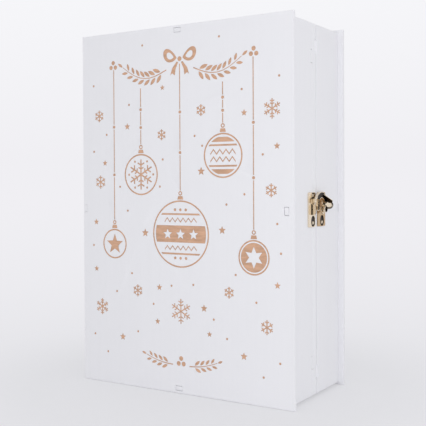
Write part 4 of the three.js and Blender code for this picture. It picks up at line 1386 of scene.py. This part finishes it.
class CALENDAR_OT_battery_case(bpy.types.Operator):
    """Makes the battery case with its lid, batteries, contacts and switch"""

    bl_idname = "calendar.battery_case"
    bl_label = "Battery case"

    def execute(self, context):
        for node, body, slot, finish in (
            ("battery_case", "front_leaf", "white_plastic", white_plastic()),
            ("battery_lid", "battery_lid", "white_plastic", white_plastic()),
            ("light_switch", "light_switch", "black_plastic", black_plastic()),
        ):
            hand_in(softened_copy(node, f"{node}_moulded", MOULDED_ROUNDING, finish), body, slot, node)
        contacts = []
        for node, nub_side in (("battery_lower", 1), ("battery_upper", -1)):
            low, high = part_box(node)
            self.make_cell(node, nub_side, low, high)
            contacts += self.make_contacts(nub_side, low, high)
        hand_in(join(contacts, "battery_contacts"), "front_leaf", "brass")
        return {"FINISHED"}

    def make_cell(self, node, nub_side, low, high):
        """A battery: steel ends, a shrink sleeve rolled over their edges and a nub."""
        middle = (low + high) / 2
        half, radius = (high.x - low.x) / 2 / MM, (high.z - low.z) / 2 / MM
        profile = [(0, -half), (4.2, -half), (4.6, 0.25 - half), (radius - 0.25, 0.3 - half)]
        profile += [(radius, 0.7 - half), (radius, half - 1.6), (radius - 0.35, half - 1.15)]
        profile += [(2.9, half - 1.0), (1.9, half - 0.95), (1.9, half - 0.2), (1.6, half), (0, half)]
        cell = turned(f"{node}_cell", profile, middle, (nub_side, 0, 0), shrink_sleeve(), steps=40)
        finish_where(cell, nickel_plate(), lambda at, normal: (at - middle).yz.length <= (radius - 0.9) * MM)
        hand_in(cell, "front_leaf", "cell_jacket", node)

    def make_contacts(self, nub_side, low, high):
        """A coil spring at the flat end and a domed contact at the nub, each on a nickel plate."""
        middle, gap, nickel = (low + high) / 2, CONTACT_GAP, nickel_plate()
        y, z = middle.y / MM, middle.z / MM
        across, up = CONTACT_HALF_WIDTH, CONTACT_HALF_HEIGHT
        outline = round_cornered((y - across, z - up), (y + across, z + up), CONTACT_CORNER)
        dome = [(0, gap - 0.15), (0.9, gap - 0.3), (1.7, gap * 0.55), (2.3, 0.15), (2.4, -0.1), (0, -0.1)]
        pieces = []
        for side, end in ((-1, low.x), (1, high.x)):
            wall = end + side * CONTACT_ROOM * MM
            near = wall - side * CONTACT_THICKNESS * MM
            pieces.append(drawn_plate("contact_plate", [outline], *sorted((wall, near)), "X", nickel))
            if side == nub_side:
                at = (near, middle.y, middle.z)
                pieces.append(turned("contact_dome", dome, at, (-side, 0, 0), nickel, steps=20))
            else:
                pieces.append(self.make_spring(near, middle, side, nickel))
        return pieces

    def make_spring(self, near, middle, side, nickel):
        """A conical spring that narrows towards the battery."""
        route = []
        for i in range(SPRING_TURNS * SPRING_STEPS + 1):
            angle, share = FULL_TURN * i / SPRING_STEPS, i / (SPRING_TURNS * SPRING_STEPS)
            reach = (SPRING_WIDE - SPRING_NARROWING * share) * MM
            along = near - side * (0.25 + (CONTACT_GAP - 0.5) * share) * MM
            route.append((along, middle.y + reach * math.cos(angle), middle.z + reach * math.sin(angle)))
        return wire_piece("contact_spring", route, SPRING_WIRE * MM, nickel)


# The photograph's stage: where the camera stands and how it looks, in metres and degrees

CAMERA_PLACE = (0.36285, -0.58005, 0.1684)
CAMERA_YAW, CAMERA_PITCH, CAMERA_ROLL = 31.94, -0.89, -0.29
CAMERA_LENS = 68.09
CAMERA_SHIFT = -0.0401
SENSOR_WIDTH = 36
OBJECT_MIDDLE = (0, 0, 0.15)
FLOOR_RADIUS = 24
FLOOR_NEAR = 0.1
FLOOR_DROP = 0.4 * MM
FLOOR_TONE_SPAN = (0.6, 0.986)
# At least half of what the camera sees on the floor is glow, which paints over half of the box's shadow with
# painted light.
SHADOW_FADE = {"start": 0.0, "end": 0.3, "low": 0.5}
BACKDROP_SPAN = (0.03, 0.22)
LAMP_PLACE, LAMP_SIZE, LAMP_POWER = (0.71, -0.79, 0.22), 0.7, 3.85
FLAG_PLACE, FLAG_SIZE = (1.6, -0.1, 0.35), (1.6, 0.9, 1)


def looking_back(at, axis):
    """The turn that points an axis of a thing from its place to the middle of the calendar."""
    return (Vector(OBJECT_MIDDLE) - Vector(at)).to_track_quat(axis, "Y").to_euler()


class CALENDAR_OT_stage(bpy.types.Operator):
    """Sets the paper floor, the soft light, the dark flag for the brass and the camera"""

    bl_idname = "calendar.stage"
    bl_label = "Stage"

    def execute(self, context):
        context.scene.view_settings.view_transform = "Standard"
        self.set_camera(context)
        self.lay_floor()
        self.set_world(context)
        self.hang_lamp()
        self.hang_flag()
        return {"FINISHED"}

    def set_camera(self, context):
        """The photograph's camera, turned by its yaw, pitch and roll."""
        yaw, pitch, roll = (math.radians(angle) for angle in (CAMERA_YAW, CAMERA_PITCH, CAMERA_ROLL))
        ahead = Vector((-math.sin(yaw) * math.cos(pitch), math.cos(yaw) * math.cos(pitch), math.sin(pitch)))
        level = Vector((math.cos(yaw), math.sin(yaw), 0))
        right = level * math.cos(roll) + level.cross(ahead) * math.sin(roll)
        turn = Matrix((right, right.cross(ahead), -ahead)).transposed()
        data = bpy.data.cameras.new("camera")
        data.lens = CAMERA_LENS
        data.sensor_width = SENSOR_WIDTH
        data.shift_y = CAMERA_SHIFT
        data.clip_start = 0.01
        data.clip_end = 100
        camera = new_object("camera", data)
        camera.matrix_world = Matrix.Translation(CAMERA_PLACE) @ turn.to_4x4()
        context.scene.camera = camera

    def seen_share(self, tree):
        """One for what the camera, gloss and glass look at, and zero for what only gives light."""
        rays = add_node(tree, "ShaderNodeLightPath").outputs
        seen = maths(tree, "MAXIMUM", rays["Is Camera Ray"], rays["Is Glossy Ray"])
        return maths(tree, "MAXIMUM", seen, rays["Is Transmission Ray"])

    def lay_floor(self):
        """Seamless paper. The eye sees matt pale grey that grows lighter with the distance from the box and
        far off passes into the backdrop. What the camera, gloss and glass see is partly a glow whose tone is
        painted darker near the box and lighter far off, as painted shade and light, and which paints over at
        least half of the box's shadow. It lies a hair below the boards' uneven edges."""
        at = (0, 0, -FLOOR_DROP)
        bpy.ops.mesh.primitive_circle_add(vertices=96, radius=FLOOR_RADIUS, fill_type="NGON", location=at)
        floor = bpy.context.object
        place(floor, at)
        floor.name = "paper_floor"
        made = bpy.data.materials.new("seamless_paper")
        tree = new_tree(made)
        place_of = add_node(tree, "ShaderNodeTexCoord").outputs["Object"]
        far = add_node(tree, "ShaderNodeVectorMath", {0: place_of}, operation="LENGTH").outputs["Value"]
        part = maths(tree, "DIVIDE", far, maths(tree, "ADD", far, FLOOR_NEAR))
        reach = between(tree, part, *FLOOR_TONE_SPAN)
        tone = mixed(tree, reach, tuple(colours().floor_near), tuple(colours().backdrop))
        paper = add_node(tree, "ShaderNodeBsdfDiffuse", {"Color": tuple(colours().floor)})
        glow = add_node(tree, "ShaderNodeEmission", {"Color": tone, "Strength": 1.0})
        fade = between(tree, far, **SHADOW_FADE, interpolation_type="SMOOTHSTEP")
        share = maths(tree, "MULTIPLY", fade, self.seen_share(tree))
        surfaces = {0: share, 1: paper.outputs["BSDF"], 2: glow.outputs["Emission"]}
        both = add_node(tree, "ShaderNodeMixShader", surfaces)
        add_node(tree, "ShaderNodeOutputMaterial", {"Surface": both.outputs["Shader"]})
        floor.data.materials.append(made)

    def set_world(self, context):
        """A pale backdrop that grows lighter upwards, over plain white light."""
        world = bpy.data.worlds.new("studio")
        tree = new_tree(world)
        direction = add_node(tree, "ShaderNodeTexCoord").outputs["Generated"]
        height = add_node(tree, "ShaderNodeSeparateXYZ", {"Vector": direction}).outputs["Z"]
        rise = between(tree, height, *BACKDROP_SPAN)
        view = mixed(tree, rise, tuple(colours().backdrop), tuple(colours().backdrop_top))
        tone = mixed(tree, self.seen_share(tree), tuple(colours().daylight), view)
        background = add_node(tree, "ShaderNodeBackground", {"Color": tone, "Strength": 1.0})
        add_node(tree, "ShaderNodeOutputWorld", {"Surface": background.outputs["Background"]})
        context.scene.world = world

    def hang_lamp(self):
        """A round soft box that looks at the middle of the calendar."""
        data = bpy.data.lights.new("key_lamp", "AREA")
        data.shape = "DISK"
        data.size = LAMP_SIZE
        data.energy = LAMP_POWER
        lamp = new_object("key_lamp", data)
        lamp.location = LAMP_PLACE
        lamp.rotation_euler = looking_back(LAMP_PLACE, "-Z")
        lamp.visible_camera = False
        lamp.visible_glossy = False

    def hang_flag(self):
        """A dark felt flag that only gloss can see, as photographers hang for the edges of metal."""
        bpy.ops.mesh.primitive_plane_add(size=1, location=FLAG_PLACE)
        flag = bpy.context.object
        flag.name = "side_flag"
        flag.scale = FLAG_SIZE
        flag.rotation_euler = looking_back(FLAG_PLACE, "Z")
        apply_transform()
        flag.data.materials.append(dark_felt())
        for rays in ("camera", "diffuse", "transmission", "shadow"):
            setattr(flag, f"visible_{rays}", False)


STEPS = (
    "stage", "boards", "front_cover", "hinges", "latch",
    "rack", "drawers", "winter_scene", "lamp_string", "battery_case",
)


class CALENDAR_PT_steps(bpy.types.Panel):
    """Lists the calendar's settings and steps"""

    bl_idname = "CALENDAR_PT_steps"
    bl_label = "Calendar"
    bl_space_type = "VIEW_3D"
    bl_region_type = "UI"
    bl_category = "Calendar"

    def draw(self, context):
        for group in (context.scene.calendar.sizes, context.scene.calendar.colours):
            column = self.layout.column()
            for name in group.__annotations__:
                column.prop(group, name)
        for step in STEPS:
            self.layout.operator(f"calendar.{step}")


CLASSES = (
    CalendarSizes, CalendarColours, CalendarSettings, CALENDAR_OT_stage, CALENDAR_OT_boards,
    CALENDAR_OT_front_cover, CALENDAR_OT_hinges, CALENDAR_OT_latch, CALENDAR_OT_rack, CALENDAR_OT_drawers,
    CALENDAR_OT_winter_scene, CALENDAR_OT_lamp_string, CALENDAR_OT_battery_case, CALENDAR_PT_steps,
)


def register():
    for item in CLASSES:
        bpy.utils.register_class(item)
    bpy.types.Scene.calendar = bpy.props.PointerProperty(type=CalendarSettings)


def unregister():
    del bpy.types.Scene.calendar
    for item in reversed(CLASSES):
        bpy.utils.unregister_class(item)


def main():
    register()
    for step in STEPS:
        getattr(bpy.ops.calendar, step)()


if __name__ == "__main__":
    main()
